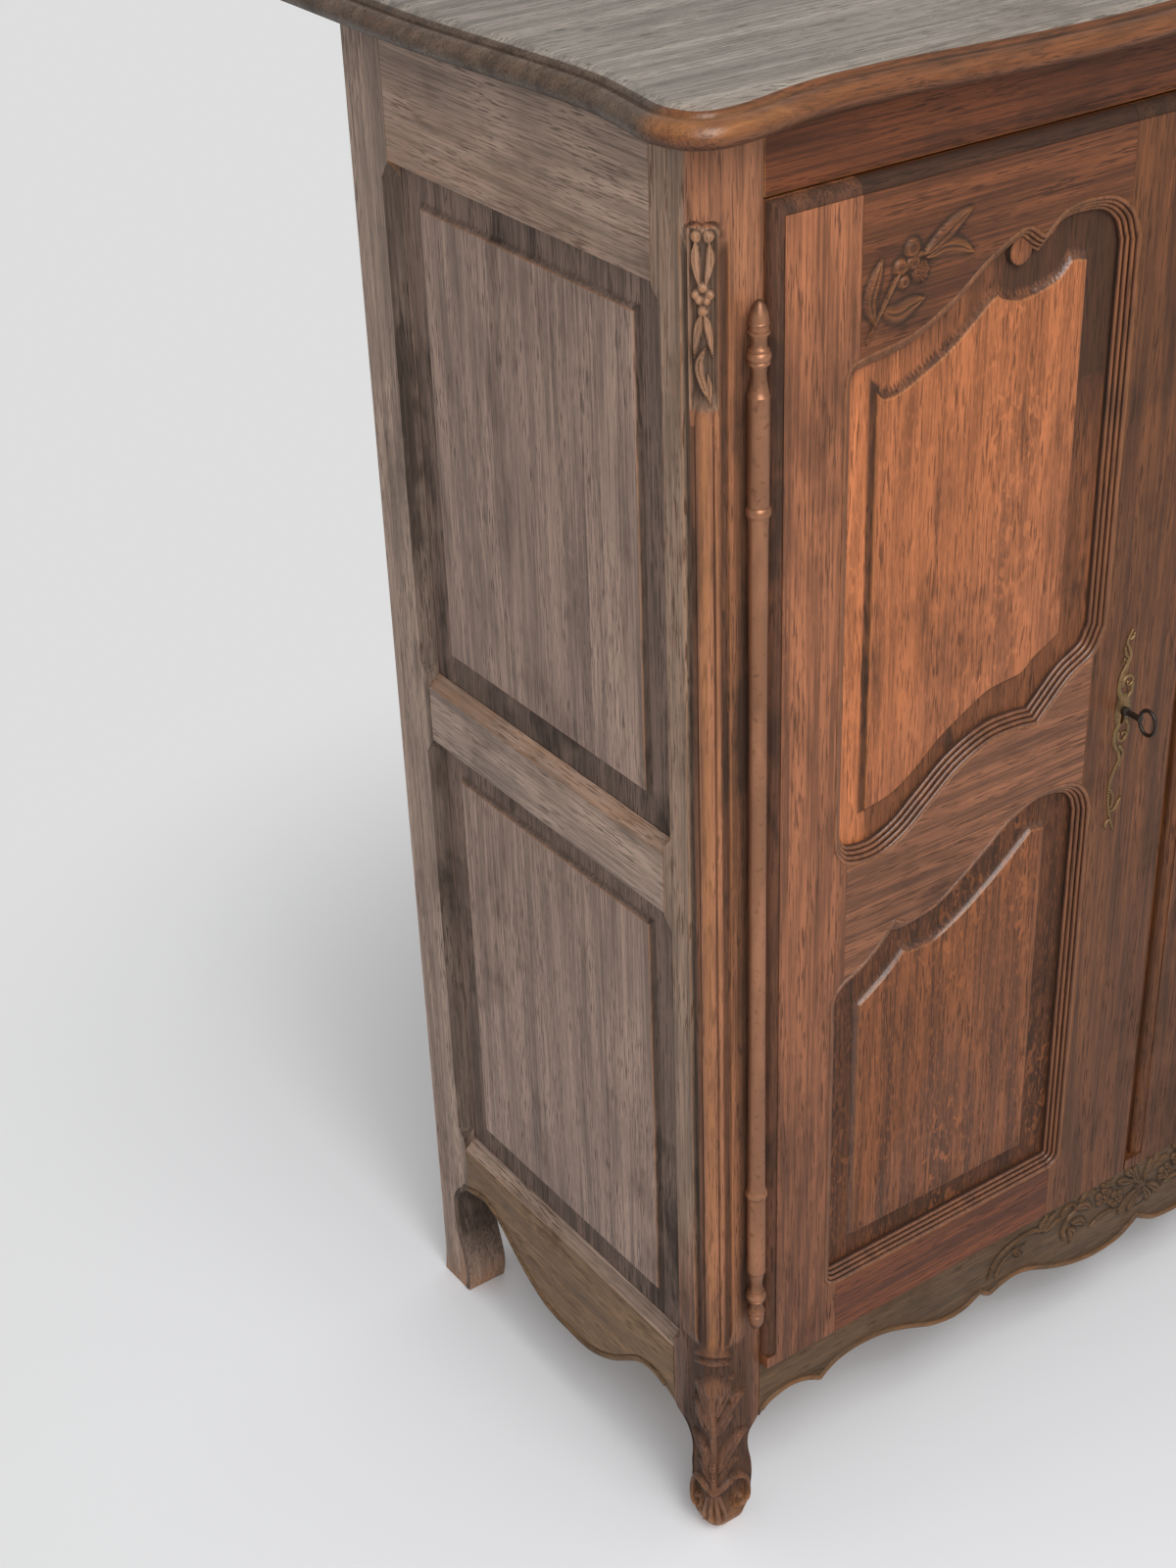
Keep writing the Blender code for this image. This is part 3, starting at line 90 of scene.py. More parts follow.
LOWER_CORNER_R, LOWER_FIELD_LIFT = 16.0, 42.4
STRIP_U = (522.0, 599.7)
STRIP_LEDGE = 12.5
HINGE_U, HINGE_Y = 43.0, -10.5
HINGE_JOINTS = (418.0, 1082.1)
KNUCKLE_L = 158.0
BARREL_R, ROD_R, RING_R, RING_H = 8.3, 7.4, 9.8, 9.0
KEY_U, KEY_Z = 454.0, 765.0
KEY_R, KEY_REACH, KEY_BOW, KEY_WIRE, KEY_BIT = 2.75, 42.0, (9.3, 12.0), 1.8, 12.5
KEYHOLE_R, ESC_T = 3.3, 1.6
CASE_DEPTH, CASE_WALL = 15.7, 2.5
TOP_OVER, TOP_EDGE, TOP_T, TOP_BACK = 46.0, 24.0, 27.0, 12.0

SIGHT_U = (DOOR_U[0] + HINGE_STILE_W, DOOR_U[1] - MEET_STILE_W)
PANEL_U = (SIGHT_U[0] - MOULD_W, SIGHT_U[1] + MOULD_W)
GROOVE_Y = DOOR_Y[0] + MOULD_DEPTH + MOULD_LIP

# Sizes of the dressing alone, in millimetres
COLUMN_FOOT = 241.0
QUIRK_END = (1274.0, 1290.0)
BEAD_GROOVE, POST_ARRIS = 1.5, 0.35
HINGE_SHADE_Z = (262.0, 300.0, 1200.0, 1240.0)
DROP_Z, DROP_EYE_Z, DROP_DEPTH = 1150.0, 1288.0, 3.6
BEVEL = 6.0
APRON_SOFT = 0.9
FOOT_BEAD_Z = 154.8
CREST_Z = 1090.0

# Lowest height of a carved form outside its edge, in millimetres
FLOOR = -2.0

# Points of the post's bead and of a flat beside it, the angle of the bead's grooves in degrees,
# the reach of a crossed loop in points, and the gap of points taken as one
ARC_POINTS, FLAT_POINTS = 49, 22
BEAD_ANGLE = 27.5
LOOP_REACH = 26
SAME_POINT = 0.05

# Distance of welded points and half width of a board's seam, in metres
WELD = 1e-6
SEAM = 0.0005

# Colour of a pale scratch
SCUFF = (0.42, 0.40, 0.38)


def shade(code):
    """Linear colour from a hex code of the screen colour."""
    out = []
    for i in (0, 2, 4):
        c = int(code[i:i + 2], 16) / 255
        out.append(c / 12.92 if c <= 0.04045 else ((c + 0.055) / 1.055) ** 2.4)
    return tuple(out)


def tint(label, code, about):
    """Colour property with its default."""
    return bpy.props.FloatVectorProperty(name=label, description=about, subtype="COLOR", size=3, min=0.0,
                                         max=1.0, default=shade(code))


def length(label, value, about):
    """Length property in metres."""
    return bpy.props.FloatProperty(name=label, description=about, default=value, unit="LENGTH", min=0.0)


class CupboardSizes(bpy.types.PropertyGroup):
    """Small sizes of the dressing."""
    edge_softness: length("Edge softness", 0.0009, "Rounding of the sawn edges")
    reed_radius: length("Reed radius", 0.0022, "Radius of each reed of the panel mouldings")
    bead_radius: length("Apron bead", 0.0036, "Radius of the bead along the shaped lower edges")
    seed_radius: length("Seed radius", 0.0016, "Radius of the seeds in the carved flower")
    carving_step: length("Carving step", 0.0008, "Spacing of the carved surface's points")


class CupboardColours(bpy.types.PropertyGroup):
    """Colours of the woods and metals."""
    side: tint("Side oak", "917b6d", "Grey-brown oak of the side rails and rear posts")
    side_panel: tint("Side panels", "8e7669", "Oak of the side panels")
    side_apron: tint("Side apron", "72563a", "Oak of the shaped bottom rails of the sides")
    stile: tint("Hinge stile", "885437", "Red-brown oak of the hinge stiles")
    meeting: tint("Meeting stile", "5e371d", "Darker oak of the handled stiles and the closing strip")
    top_rail: tint("Door top rail", "63381f", "Oak of the door's top rail")
    middle_rail: tint("Door middle rail", "784c33", "Oak of the door's middle rail")
    bottom_rail: tint("Door bottom rail", "5e3016", "Oak of the door's bottom rail")
    reeds: tint("Reeds", "683e28", "Dark oak of the reeded mouldings")
    upper: tint("Upper panel", "935734", "Orange-brown oak of the upper door panels")
    lower: tint("Lower panel", "6b3d20", "Darker oak of the lower door panels")
    post: tint("Corner post", "88593e", "Warm oak of the corner posts")
    post_side: tint("Corner post side", "876e5b", "Greyer oak on the outer face of the corner posts")
    frieze: tint("Frieze", "5d3016", "Dark oak of the rail above the doors")
    apron: tint("Apron", "4e3a26", "Grey-brown oak of the apron")
    top: tint("Top", "7f776e", "Greyed oak of the top")
    edge: tint("Top edge", "5d361e", "Golden-brown oak of the moulded edge")
    edge_side: tint("Top edge at the sides", "514439", "Greyer oak of the moulded edge along the sides")
    inside: tint("Inside", "9a7a56", "Pale oak of the inside and the back")
    # The grime colour also paints shade in recesses: behind the hinges, on the door edges, under the top's
    # moulding and on reeds facing away.
    grime: tint("Grime", "261d17", "Old wax and dust in the recesses")
    # The bare wood colour also paints the highlight on the top's moulded edge and on the side rails' upward
    # chamfers.
    bare: tint("Bare wood", "a8703f", "Wood rubbed bare along the edges")
    bronze: tint("Bronze", "8a6047", "Bronze of the barrel hinges")
    brass: tint("Brass", "6e5638", "Brass of the key plate")
    iron: tint("Iron", "3b332e", "Iron of the key, lock and bolts")


class StudioSettings(bpy.types.PropertyGroup):
    """Light and floor of the studio."""
    floor: tint("Floor", "e6e7ea", "Pale floor and backdrop")
    ambient: bpy.props.FloatProperty(name="Ambient", description="Strength of the even light", default=0.60,
                                     min=0.0)
    key: bpy.props.FloatProperty(name="Key lamp", description="Power of the large front lamp", default=78.0,
                                 min=0.0, unit="POWER")
    lens: bpy.props.FloatProperty(name="Lens", description="Focal length in millimetres", default=56.94,
                                  min=1.0)


def sizes():
    """Small sizes set in the scene."""
    return bpy.context.scene.cupboard_sizes


def colours():
    """Colours set in the scene."""
    return bpy.context.scene.cupboard_colours


# Curves and outlines

def smooth(points, steps=8):
    """Catmull-Rom curve through the points, both ends kept."""
    p = np.array(points, float)
    p = np.vstack((2 * p[0] - p[1], p, 2 * p[-1] - p[-2]))
    t = (np.arange(steps) / steps)[:, None]
    runs = []
    for a, b, c, d in zip(p, p[1:], p[2:], p[3:]):
        runs.append(0.5 * (2 * b + (c - a) * t + (2 * a - 5 * b + 4 * c - d) * t ** 2
                           + (3 * b - a - 3 * c + d) * t ** 3))
    return np.vstack(runs + [p[-2:-1]])


def chain(runs):
    """Join runs that meet at sharp points into one closed outline."""
    out = []
    for run in runs:
        for q in smooth(run) if len(run) > 2 else np.array(run, float):
            if not out or np.hypot(*(q - out[-1])) > SAME_POINT:
                out.append(q)
    if np.hypot(*(out[0] - out[-1])) < SAME_POINT:
        out.pop()
    return np.array(out)


def inset(outline, distance):
    """Move a closed outline inwards, with mitred corners and its crossed loops pulled together."""
    p = np.asarray(outline, float)
    area = np.sum(p[:, 0] * np.roll(p[:, 1], -1) - np.roll(p[:, 0], -1) * p[:, 1])
    turn = 1 if area > 0 else -1
    before = p - np.roll(p, 1, 0)
    before /= np.linalg.norm(before, axis=1)[:, None]
    after = np.roll(before, -1, 0)
    na = np.c_[-before[:, 1], before[:, 0]] * turn
    nb = np.c_[-after[:, 1], after[:, 0]] * turn
    spread = np.maximum(1 + np.sum(na * nb, 1), 0.4)
    q = p + (na + nb) * (distance / spread)[:, None]
    return untangled(q)


def untangled(q):
    """Pull the small loops of a crossed outline together at their crossing point."""
    pts = [Vector(v) for v in q]
    count = len(pts)
    for i in range(count):
        for step in range(min(LOOP_REACH, count // 2 - 1), 1, -1):
            j = (i + step) % count
            hit = intersect_line_line_2d(pts[i], pts[(i + 1) % count], pts[j], pts[(j + 1) % count])
            if hit:
                for k in range(1, step + 1):
                    pts[(i + k) % count] = hit.copy()
                break
    return np.array([tuple(v) for v in pts])


def resampled(outline, step=1.3):
    """Closed outline with its long runs cut into short ones."""
    out = []
    for a, b in zip(outline, np.roll(outline, -1, 0)):
        count = max(int(round(np.hypot(*(b - a)) / step)), 1)
        out += [a + (b - a) * k / count for k in range(count)]
    return np.array(out)


def panel_curve(points, level, rise):
    """Scale (share of width, share of rise) pairs to the door's panel opening."""
    width = PANEL_U[1] - PANEL_U[0]
    return [(PANEL_U[0] + s * width, level + t * rise) for s, t in points]


def upper_outline(top, low):
    """Closed outline in the upper opening from the runs of its top and of its foot."""
    runs = [panel_curve(run, UPPER_SPRING, UPPER_RISE) for run in top]
    return chain(runs + [panel_curve(run, UPPER_LOW, UPPER_LOW_RISE) for run in low])


def upper_opening():
    """Outer edge of the moulding round the upper door panel."""
    top_a = ((0, -0.28), (0.015, -0.08), (0.063, 0), (0.219, 0.10), (0.352, 0.35), (0.468, 0.68),
             (0.585, 0.89), (0.654, 0.74))
    top_b = ((0.654, 0.74), (0.72, 0.95), (0.80, 1.0), (0.90, 0.94), (0.97, 0.72), (1.0, 0.40))
    low_a = ((1.0, 1.21), (0.957, 1.0), (0.867, 0.867), (0.784, 0.664), (0.751, 0.575))
    low_b = ((0.751, 0.575), (0.668, 0.606), (0.568, 0.60), (0.452, 0.478), (0.352, 0.283),
             (0.252, 0.088), (0.153, 0), (0.053, 0.044), (0.007, 0.186), (0, 0.30))
    return upper_outline((top_a, top_b), (low_a, low_b))


def upper_field():
    """Edge of the raised field of the upper door panel."""
    top_a = ((0.136, -0.54), (0.165, -0.625), (0.231, -0.583), (0.381, -0.29), (0.4975, 0.07),
             (0.531, 0.139))
    top_b = ((0.531, 0.139), (0.557, 0.07), (0.62, 0.014), (0.73, 0.097), (0.787, 0.29))
    top_c = ((0.787, 0.29), (0.837, 0.25))
    low = ((0.837, 1.26), (0.747, 1.137), (0.697, 1.04), (0.614, 1.022), (0.547, 0.978),
           (0.398, 0.765), (0.314, 0.588), (0.248, 0.482), (0.198, 0.438), (0.136, 0.416))
    return upper_outline((top_a, top_b, top_c), (low,))


def corner_arc(u, z, radius, start):
    """Quarter circle drawn clockwise from a start angle."""
    angles = np.radians(start - np.linspace(0, 90, 13))
    return np.c_[u + radius * np.cos(angles), z + radius * np.sin(angles)]


def lower_opening():
    """Outer edge of the moulding round the lower door panel."""
    top_a = ((0, -0.167), (0.012, -0.083), (0.045, 0), (0.118, 0.10), (0.185, 0.25), (0.234, 0.407))
    top_b = ((0.234, 0.407), (0.268, 0.347), (0.302, 0.333), (0.352, 0.352), (0.419, 0.407),
             (0.551, 0.648), (0.668, 0.88), (0.80, 1.0), (0.917, 0.954), (0.975, 0.82), (1.0, 0.64))
    r = LOWER_CORNER_R
    outline = chain([panel_curve(run, LOWER_SPRING, LOWER_RISE) for run in (top_a, top_b)])
    return np.vstack((outline, corner_arc(PANEL_U[1] - r, LOWER_LOW + r, r, 0),
                      corner_arc(PANEL_U[0] + r, LOWER_LOW + r, r, -90)))


def lower_field():
    """Edge of the raised field of the lower door panel."""
    top_a = ((0.138, -0.384), (0.181, -0.315), (0.248, -0.185), (0.301, -0.046))
    top_b = ((0.301, -0.046), (0.331, -0.074), (0.381, -0.083), (0.431, -0.065), (0.547, 0.093),
             (0.681, 0.343), (0.787, 0.583))
    top_c = ((0.787, 0.583), (0.837, 0.556))
    outline = chain([panel_curve(run, LOWER_SPRING, LOWER_RISE) for run in (top_a, top_b, top_c)])
    base = LOWER_LOW + LOWER_FIELD_LIFT
    return np.vstack((outline, ((outline[-1][0], base), (outline[0][0], base))))


# Meshes

def place(u, y, z):
    """Points of the cupboard's measure, in metres in the frame of the part."""
    u, y, z = np.broadcast_arrays(np.asarray(u, float), np.asarray(y, float), np.asarray(z, float))
    return np.stack((u - HALF, y + FRONT_Y, z), -1) / 1000


def on_front(points, y):
    """Outline of (u, z) pairs at a depth."""
    p = np.asarray(points, float)
    return place(p[:, 0], y, p[:, 1])


def on_side(points, u):
    """Outline of (y, z) pairs at a distance from the side plane."""
    p = np.asarray(points, float)
    return place(u, p[:, 0], p[:, 1])


def build(verts, faces, marks=None):
    """Mesh from points and faces, with its named point values."""
    mesh = bpy.data.meshes.new("work")
    mesh.from_pydata(np.asarray(verts).tolist(), [], faces)
    for name, values in (marks or {}).items():
        mark(mesh, name, np.ravel(values))
    mesh.update()
    return mesh


@contextmanager
def opened(mesh):
    """Editable form of a mesh, written back at the end."""
    bm = bmesh.new()
    bm.from_mesh(mesh)
    yield bm
    bm.to_mesh(mesh)
    bm.free()


def outward(mesh, loose=False):
    """Turn the faces of a closed mesh outwards, or those of every loose shell of a mesh."""
    with opened(mesh) as bm:
        if not loose:
            bmesh.ops.remove_doubles(bm, verts=bm.verts, dist=2 * WELD)
        bmesh.ops.recalc_face_normals(bm, faces=bm.faces)
        if not loose and bm.calc_volume(signed=True) < 0:
            bmesh.ops.reverse_faces(bm, faces=bm.faces)
    return mesh


def ring_faces(first, second):
    """Four-sided faces between rings of point numbers."""
    sides = (first, np.roll(first, -1, -1), np.roll(second, -1, -1), second)
    return np.stack(sides, -1).reshape(-1, 4).tolist()


def loft(rings, marks=None):
    """Closed solid through rings of equal point count, capped at both ends."""
    rings = np.asarray(rings)
    grid = np.arange(rings.shape[0] * rings.shape[1]).reshape(rings.shape[:2])
    faces = ring_faces(grid[:-1], grid[1:]) + [grid[0][::-1].tolist(), grid[-1].tolist()]
    return outward(build(rings.reshape(-1, 3), faces, marks))


def slab(outline, lay, low, high, soft):
    """Board of an outline between two levels, its edges rounded."""
    steps = ((low, soft), (low + 0.3 * soft, 0.3 * soft), (low + soft, 0), (high - soft, 0),
             (high - 0.3 * soft, 0.3 * soft), (high, soft))
    outline = np.asarray(outline, float)
    rings = [lay(inset(outline, back) if back else outline, level) for level, back in steps]
    return loft(rings, {"worn": np.repeat((0.2, 1, 0.2, 0.2, 1, 0.2), len(outline))})


def box(low, high, soft=0.0):
    """Box between two corners, softened where it shows."""
    (u0, y0, z0), (u1, y1, z1) = low, high
    plan = rectangle(u0, z0, u1, z1)
    if soft:
        return slab(plan, on_front, y0, y1, soft)
    return loft([on_front(plan, y0), on_front(plan, y1)])


def round_angles(count):
    """Angles of the points of a full circle."""
    return np.linspace(0, 2 * math.pi, count, endpoint=False)


def lathe(profile, u, y, sides=44):
    """Turned solid about an upright axis from (radius, height) pairs."""
    a = round_angles(sides)
    return loft([place(u + r * np.cos(a), y + r * np.sin(a), z) for r, z in profile])


def rod(u, z, profile, sides=28):
    """Turned solid that runs from front to back, from (radius, depth) pairs."""
    a = round_angles(sides)
    return loft([place(u + r * np.cos(a), y, z + r * np.sin(a)) for r, y in profile])


def joined(meshes):
    """One mesh from several."""
    bm = bmesh.new()
    for mesh in meshes:
        bm.from_mesh(mesh)
    result = bpy.data.meshes.new("work")
    bm.to_mesh(result)
    bm.free()
    return result


def stand_in(mesh):
    """Object that holds a mesh while its modifiers are worked out."""
    item = bpy.data.objects.new("work", mesh)
    bpy.context.scene.collection.objects.link(item)
    return item


def worked_out(item, tools=()):
    """Plain mesh of an object with its modifiers applied; the object and its tools are removed."""
    graph = bpy.context.evaluated_depsgraph_get()
    result = bpy.data.meshes.new_from_object(item.evaluated_get(graph))
    for used in (item, *tools):
        bpy.data.objects.remove(used, do_unlink=True)
    return result


def cut(base, cuts=(), adds=()):
    """Join solids to a base, then cut others out of it."""
    target, tools = stand_in(base), []
    for meshes, operation in ((adds, "UNION"), (cuts, "DIFFERENCE")):
        for mesh in meshes:
            tools.append(stand_in(mesh))
            step = target.modifiers.new("step", "BOOLEAN")
            step.operation, step.solver, step.object = operation, "EXACT", tools[-1]
    return worked_out(target, tools)


def mirrored(mesh):
    """Mirror image of a mesh in the middle plane of the cupboard."""
    copy = mesh.copy()
    copy.transform(Matrix.Scale(-1, 4, (1, 0, 0)))
    copy.flip_normals()
    return copy


def for_side(mesh, side):
    """Mesh of the left half, or its mirror image."""
    return mesh if side == "left" else mirrored(mesh)


def mark(mesh, name, values):
    """Set one named point value on a mesh, from one number or one for each point."""
    layer = mesh.attributes.get(name) or mesh.attributes.new(name, "FLOAT", "POINT")
    spread = np.empty(len(mesh.vertices), np.float32)
    spread[:] = values
    layer.data.foreach_set("value", spread)


def marked(mesh, name):
    """Values of a point attribute."""
    values = np.zeros(len(mesh.vertices), np.float32)
    mesh.attributes[name].data.foreach_get("value", values)
    return values


def slopes(mesh, wanted):
    """1 at the points of every face whose normal is wanted, else 0."""
    out = np.zeros(len(mesh.vertices))
    for face in mesh.polygons:
        if wanted(face.normal):
            out[list(face.vertices)] = 1.0
    return out


def points_of(mesh):
    """Points of a mesh, in metres."""
    co = np.empty(len(mesh.vertices) * 3, np.float32)
    mesh.vertices.foreach_get("co", co)
    return co.reshape(-1, 3).astype(float)


def piece(name, mesh, finish, body, stands_for=(), sharp=38.0):
    """Finished object on its body, in the place of the nodes it stands for."""
    mesh.name = name
    mesh.materials.clear()
    mesh.materials.append(bpy.data.materials[finish])
    mesh.shade_smooth()
    mesh.set_sharp_from_angle(angle=math.radians(sharp))
    item = bpy.data.objects.new(name, mesh)
    bpy.context.scene.collection.objects.link(item)
    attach(item, body)
    for node in stands_for:
        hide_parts(node)
    return item


def measures(mesh):
    """Points of a mesh in the cupboard's measure: u, y and z in millimetres."""
    co = points_of(mesh) * 1000
    return co[:, 0] + HALF, co[:, 1] - FRONT_Y, co[:, 2]


def softened(node, finish, body, width=None):
    """Copy of a plain node with its edges rounded, in the node's place."""
    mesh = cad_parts[node].data.copy()
    with opened(mesh) as bm:
        bmesh.ops.remove_doubles(bm, verts=bm.verts, dist=WELD)
        bmesh.ops.dissolve_limit(bm, angle_limit=math.radians(1.0), verts=bm.verts, edges=bm.edges)
    holder = stand_in(mesh)
    bevel = holder.modifiers.new("soft edges", "BEVEL")
    bevel.width = width / 1000 if width else sizes().edge_softness
    bevel.segments = 3
    bevel.limit_method = "ANGLE"
    bevel.angle_limit = math.radians(35)
    bevel.use_clamp_overlap = True
    result = worked_out(holder)
    mark(result, "worn", rounding(result))
    return piece(node + "_soft", result, finish, body, [node])


def rounding(mesh):
    """How sharply each point stands out, from 0 on a flat face to 1 on a rounded edge."""
    bm = bmesh.new()
    bm.from_mesh(mesh)
    out = []
    for v in bm.verts:
        bends = [e.calc_face_angle_signed(0.0) for e in v.link_edges if len(e.link_faces) == 2]
        out.append(min(max(max(bends, default=0.0) - 0.3, 0.0) / 0.25, 1.0))
    bm.free()
    return out


# Carved relief, in millimetres on a flat chart

def highest(*forms):
    """Upper surface of several carved forms."""
    return np.maximum.reduce(forms)


def stroke(a, b, path, width, height, ends="leaf", vein=0.0, steps=10):
    """Height of a leaf or scroll along a path: above nought inside it, falling off below outside."""
    line = smooth(path, steps)
    t = np.linspace(0, 1, len(line))
    half = {"leaf": np.sin(np.pi * np.clip(t, 0.02, 0.98) ** 0.85) ** 0.8, "taper": 1.0 - 0.75 * t,
            "tail": 0.25 + 0.75 * t, "even": np.ones_like(t)}[ends]
    half = np.maximum(half * width / 2, 0.25)
    out = np.full(a.shape, FLOOR)
    reach = width / 2 + 3.0
    low, high = line.min(0) - reach, line.max(0) + reach
    near = (a > low[0]) & (a < high[0]) & (b > low[1]) & (b < high[1])
    if not near.any():
        return out
    p = np.c_[a[near], b[near]]
    d = np.hypot(p[:, None, 0] - line[None, :, 0], p[:, None, 1] - line[None, :, 1])
    k = d.argmin(1)
    v = d[np.arange(len(p)), k] / half[k]
    h = height * (1 - v ** 2)
    if vein:
        h -= vein * height * np.exp(-(v / 0.2) ** 2) * (v < 1)
    out[near] = np.maximum(h, FLOOR)
    return out


def knob(a, b, centre, radius, height, flat=1.0):
    """Height of a round knob, oval where flat is not 1."""
    d2 = ((a - centre[0]) / radius) ** 2 + ((b - centre[1]) / (radius * flat)) ** 2
    return np.maximum(height * (1 - d2), FLOOR)


def spiral(centre, radius, turns, start, way):
    """Points of a scroll that winds in to its eye."""
    t = np.linspace(0, 1, 28)
    angle = math.radians(start) + way * 2 * math.pi * turns * t
    r = radius * (1 - 0.78 * t)
    return np.c_[centre[0] + r * np.cos(angle), centre[1] + r * np.sin(angle)]


def flower(a, b, centre, radius, height, turn):
    """Height of an open flower of five petals with a round heart."""
    forms = [knob(a, b, centre, radius * 0.3, height * 1.05)]
    for angle in math.radians(turn) + round_angles(5):
        c = (centre[0] + 0.6 * radius * math.cos(angle), centre[1] + 0.6 * radius * math.sin(angle))
        hollow = np.maximum(knob(a, b, c, radius * 0.2, height), 0)
        forms.append(knob(a, b, c, radius * 0.44, height) - 0.5 * hollow)
    return highest(*forms)


def blurred(h, times):
    """Height field softened over its neighbours."""
    out = h.copy()
    for _ in range(times):
        pad = np.pad(out, 1, mode="edge")
        out = (pad[:-2, 1:-1] + pad[2:, 1:-1] + pad[1:-1, :-2] + pad[1:-1, 2:] + out) / 5
    return out


def relief_marks(h):
    """Worn crests and grimy hollows of a carved surface."""
    proud = h - blurred(h, 6)
    worn = np.clip(proud * 3.0, 0, 1) + 0.35 * np.clip(h / 2.5 - 0.5, 0, 1)
    deep = np.clip(-proud * 4.0, 0, 1) + np.clip(0.9 - h, 0, 1) * 0.9
    return np.clip(worn, 0, 1), np.clip(deep, 0, 1)


def relief(low, high, step, carve, lay, sink=1.2, keep=-0.5, halo=0.0, rub=1.0):
    """Solid carving on a face: the part of a height field that stands above the ground."""
    a, b = np.meshgrid(np.arange(low[0], high[0], step), np.arange(low[1], high[1], step), indexing="ij")
    h = carve(a, b)
    worn, deep = relief_marks(h)
    worn = worn * rub
    if halo:
        spread = np.clip(blurred((h > 0).astype(float), int((halo / step) ** 2 / 8)) * 2.4, 0, 1)
        ground = np.where(spread > 0.02, 0.05, -1.0)
        deep = np.where(h < 0.05, spread, deep)
        h = np.maximum(h, ground)
    cells = highest(h[:-1, :-1], h[1:, :-1], h[1:, 1:], h[:-1, 1:]) > keep
    h = np.maximum(h, keep - 0.1)
    ia, ib = np.nonzero(cells)
    cols = h.shape[1]
    corner = ia * cols + ib
    quad = np.c_[corner, corner + cols, corner + cols + 1, corner + 1]
    used, index = np.unique(quad, return_inverse=True)
    quad = index.reshape(-1, 4)
    n = len(used)
    flat_a, flat_b = a.ravel()[used], b.ravel()[used]
    verts = np.vstack((lay(flat_a, flat_b, h.ravel()[used]), lay(flat_a, flat_b, np.full(n, -sink))))
    edges = np.concatenate([quad[:, pair] for pair in ((0, 1), (1, 2), (2, 3), (3, 0))])
    code = edges[:, 0] * n + edges[:, 1]
    back = edges[:, 1] * n + edges[:, 0]
    rim = edges[~np.isin(code, back)]
    walls = np.c_[rim[:, 1], rim[:, 0], rim[:, 0] + n, rim[:, 1] + n]
    faces = quad.tolist() + (quad[:, ::-1] + n).tolist() + walls.tolist()
    marks = {"worn": np.tile(worn.ravel()[used], 2), "deep": np.tile(deep.ravel()[used], 2)}
    return outward(build(verts, faces, marks), loose=True)


# Geometry node trees

def tree(name, *inputs):
    """Empty geometry tree with named inputs and a finish."""
    made = bpy.data.node_groups.new(name, "GeometryNodeTree")
    made.interface.new_socket("Geometry", in_out="INPUT", socket_type="NodeSocketGeometry")
    for label, kind, value in inputs:
        made.interface.new_socket(label, in_out="INPUT", socket_type=kind).default_value = value
    made.interface.new_socket("Finish", in_out="INPUT", socket_type="NodeSocketMaterial")
    made.interface.new_socket("Geometry", in_out="OUTPUT", socket_type="NodeSocketGeometry")
    return made, made.nodes.new("NodeGroupInput")


def finished(made, start, grown):
    """Last steps of a tree: make its instances real, give them the finish and send them out."""
    real = made.nodes.new("GeometryNodeRealizeInstances")
    finish = made.nodes.new("GeometryNodeSetMaterial")
    end = made.nodes.new("NodeGroupOutput")
    for out, into in ((grown, real.inputs["Geometry"]), (real.outputs["Geometry"], finish.inputs["Geometry"]),
                      (start.outputs["Finish"], finish.inputs["Material"]),
                      (finish.outputs["Geometry"], end.inputs["Geometry"])):
        made.links.new(out, into)
    return made


def swept_bead_tree():
    """Tree that sweeps a round bead along the edges of a path."""
    made, start = tree("swept bead", ("Radius", "NodeSocketFloat", 0.002), ("Sides", "NodeSocketInt", 12))
    add, link = made.nodes.new, made.links.new
    path = add("GeometryNodeMeshToCurve")
    ring = add("GeometryNodeCurvePrimitiveCircle")
    sweep = add("GeometryNodeCurveToMesh")
    sweep.inputs["Fill Caps"].default_value = True
    link(start.outputs["Geometry"], path.inputs["Mesh"])
    link(start.outputs["Radius"], ring.inputs["Radius"])
    link(start.outputs["Sides"], ring.inputs["Resolution"])
    link(path.outputs["Curve"], sweep.inputs["Curve"])
    link(ring.outputs["Curve"], sweep.inputs["Profile Curve"])
    return finished(made, start, sweep.outputs["Mesh"])


def seed_tree():
    """Tree that sets a small seed of random size on every point."""
    made, start = tree("carved seeds", ("Radius", "NodeSocketFloat", 0.001), ("Seed", "NodeSocketInt", 7))
    add, link = made.nodes.new, made.links.new
    grain = add("GeometryNodeMeshIcoSphere")
    grain.inputs["Subdivisions"].default_value = 2
    spread = add("FunctionNodeRandomValue")
    spread.inputs[2].default_value = 0.7
    spread.inputs[3].default_value = 1.25
    spots = add("GeometryNodeInstanceOnPoints")
    link(start.outputs["Radius"], grain.inputs["Radius"])
    link(start.outputs["Seed"], spread.inputs["Seed"])
    link(start.outputs["Geometry"], spots.inputs["Points"])
    link(grain.outputs["Mesh"], spots.inputs["Instance"])
    link(spread.outputs[1], spots.inputs["Scale"])
    return finished(made, start, spots.outputs["Instances"])


def grown_by(made, mesh, values):
    """Mesh that a geometry tree makes from a mesh, with the tree's inputs set by name."""
    holder = stand_in(mesh)
    nodes = holder.modifiers.new("grow", "NODES")
    nodes.node_group = made
    for item in made.interface.items_tree:
        if item.in_out == "INPUT" and item.name in values:
            nodes[item.identifier] = values[item.name]
    return worked_out(holder)


def path_mesh(lines):
    """Edges of open or closed point runs, as (points, closed) pairs."""
    verts, edges = [], []
    for line, closed in lines:
        base = len(verts)
        verts += np.asarray(line).tolist()
        count = len(line)
        edges += [(base + i, base + (i + 1) % count) for i in range(count if closed else count - 1)]
    mesh = bpy.data.meshes.new("path")
    mesh.from_pydata(verts, edges, [])
    return mesh


def beads(lines, radius, finish, sides=14):
    """Round beads swept along paths."""
    made = bpy.data.node_groups.get("swept bead") or swept_bead_tree()
    values = {"Radius": radius, "Sides": sides, "Finish": bpy.data.materials[finish]}
    return grown_by(made, path_mesh(lines), values)


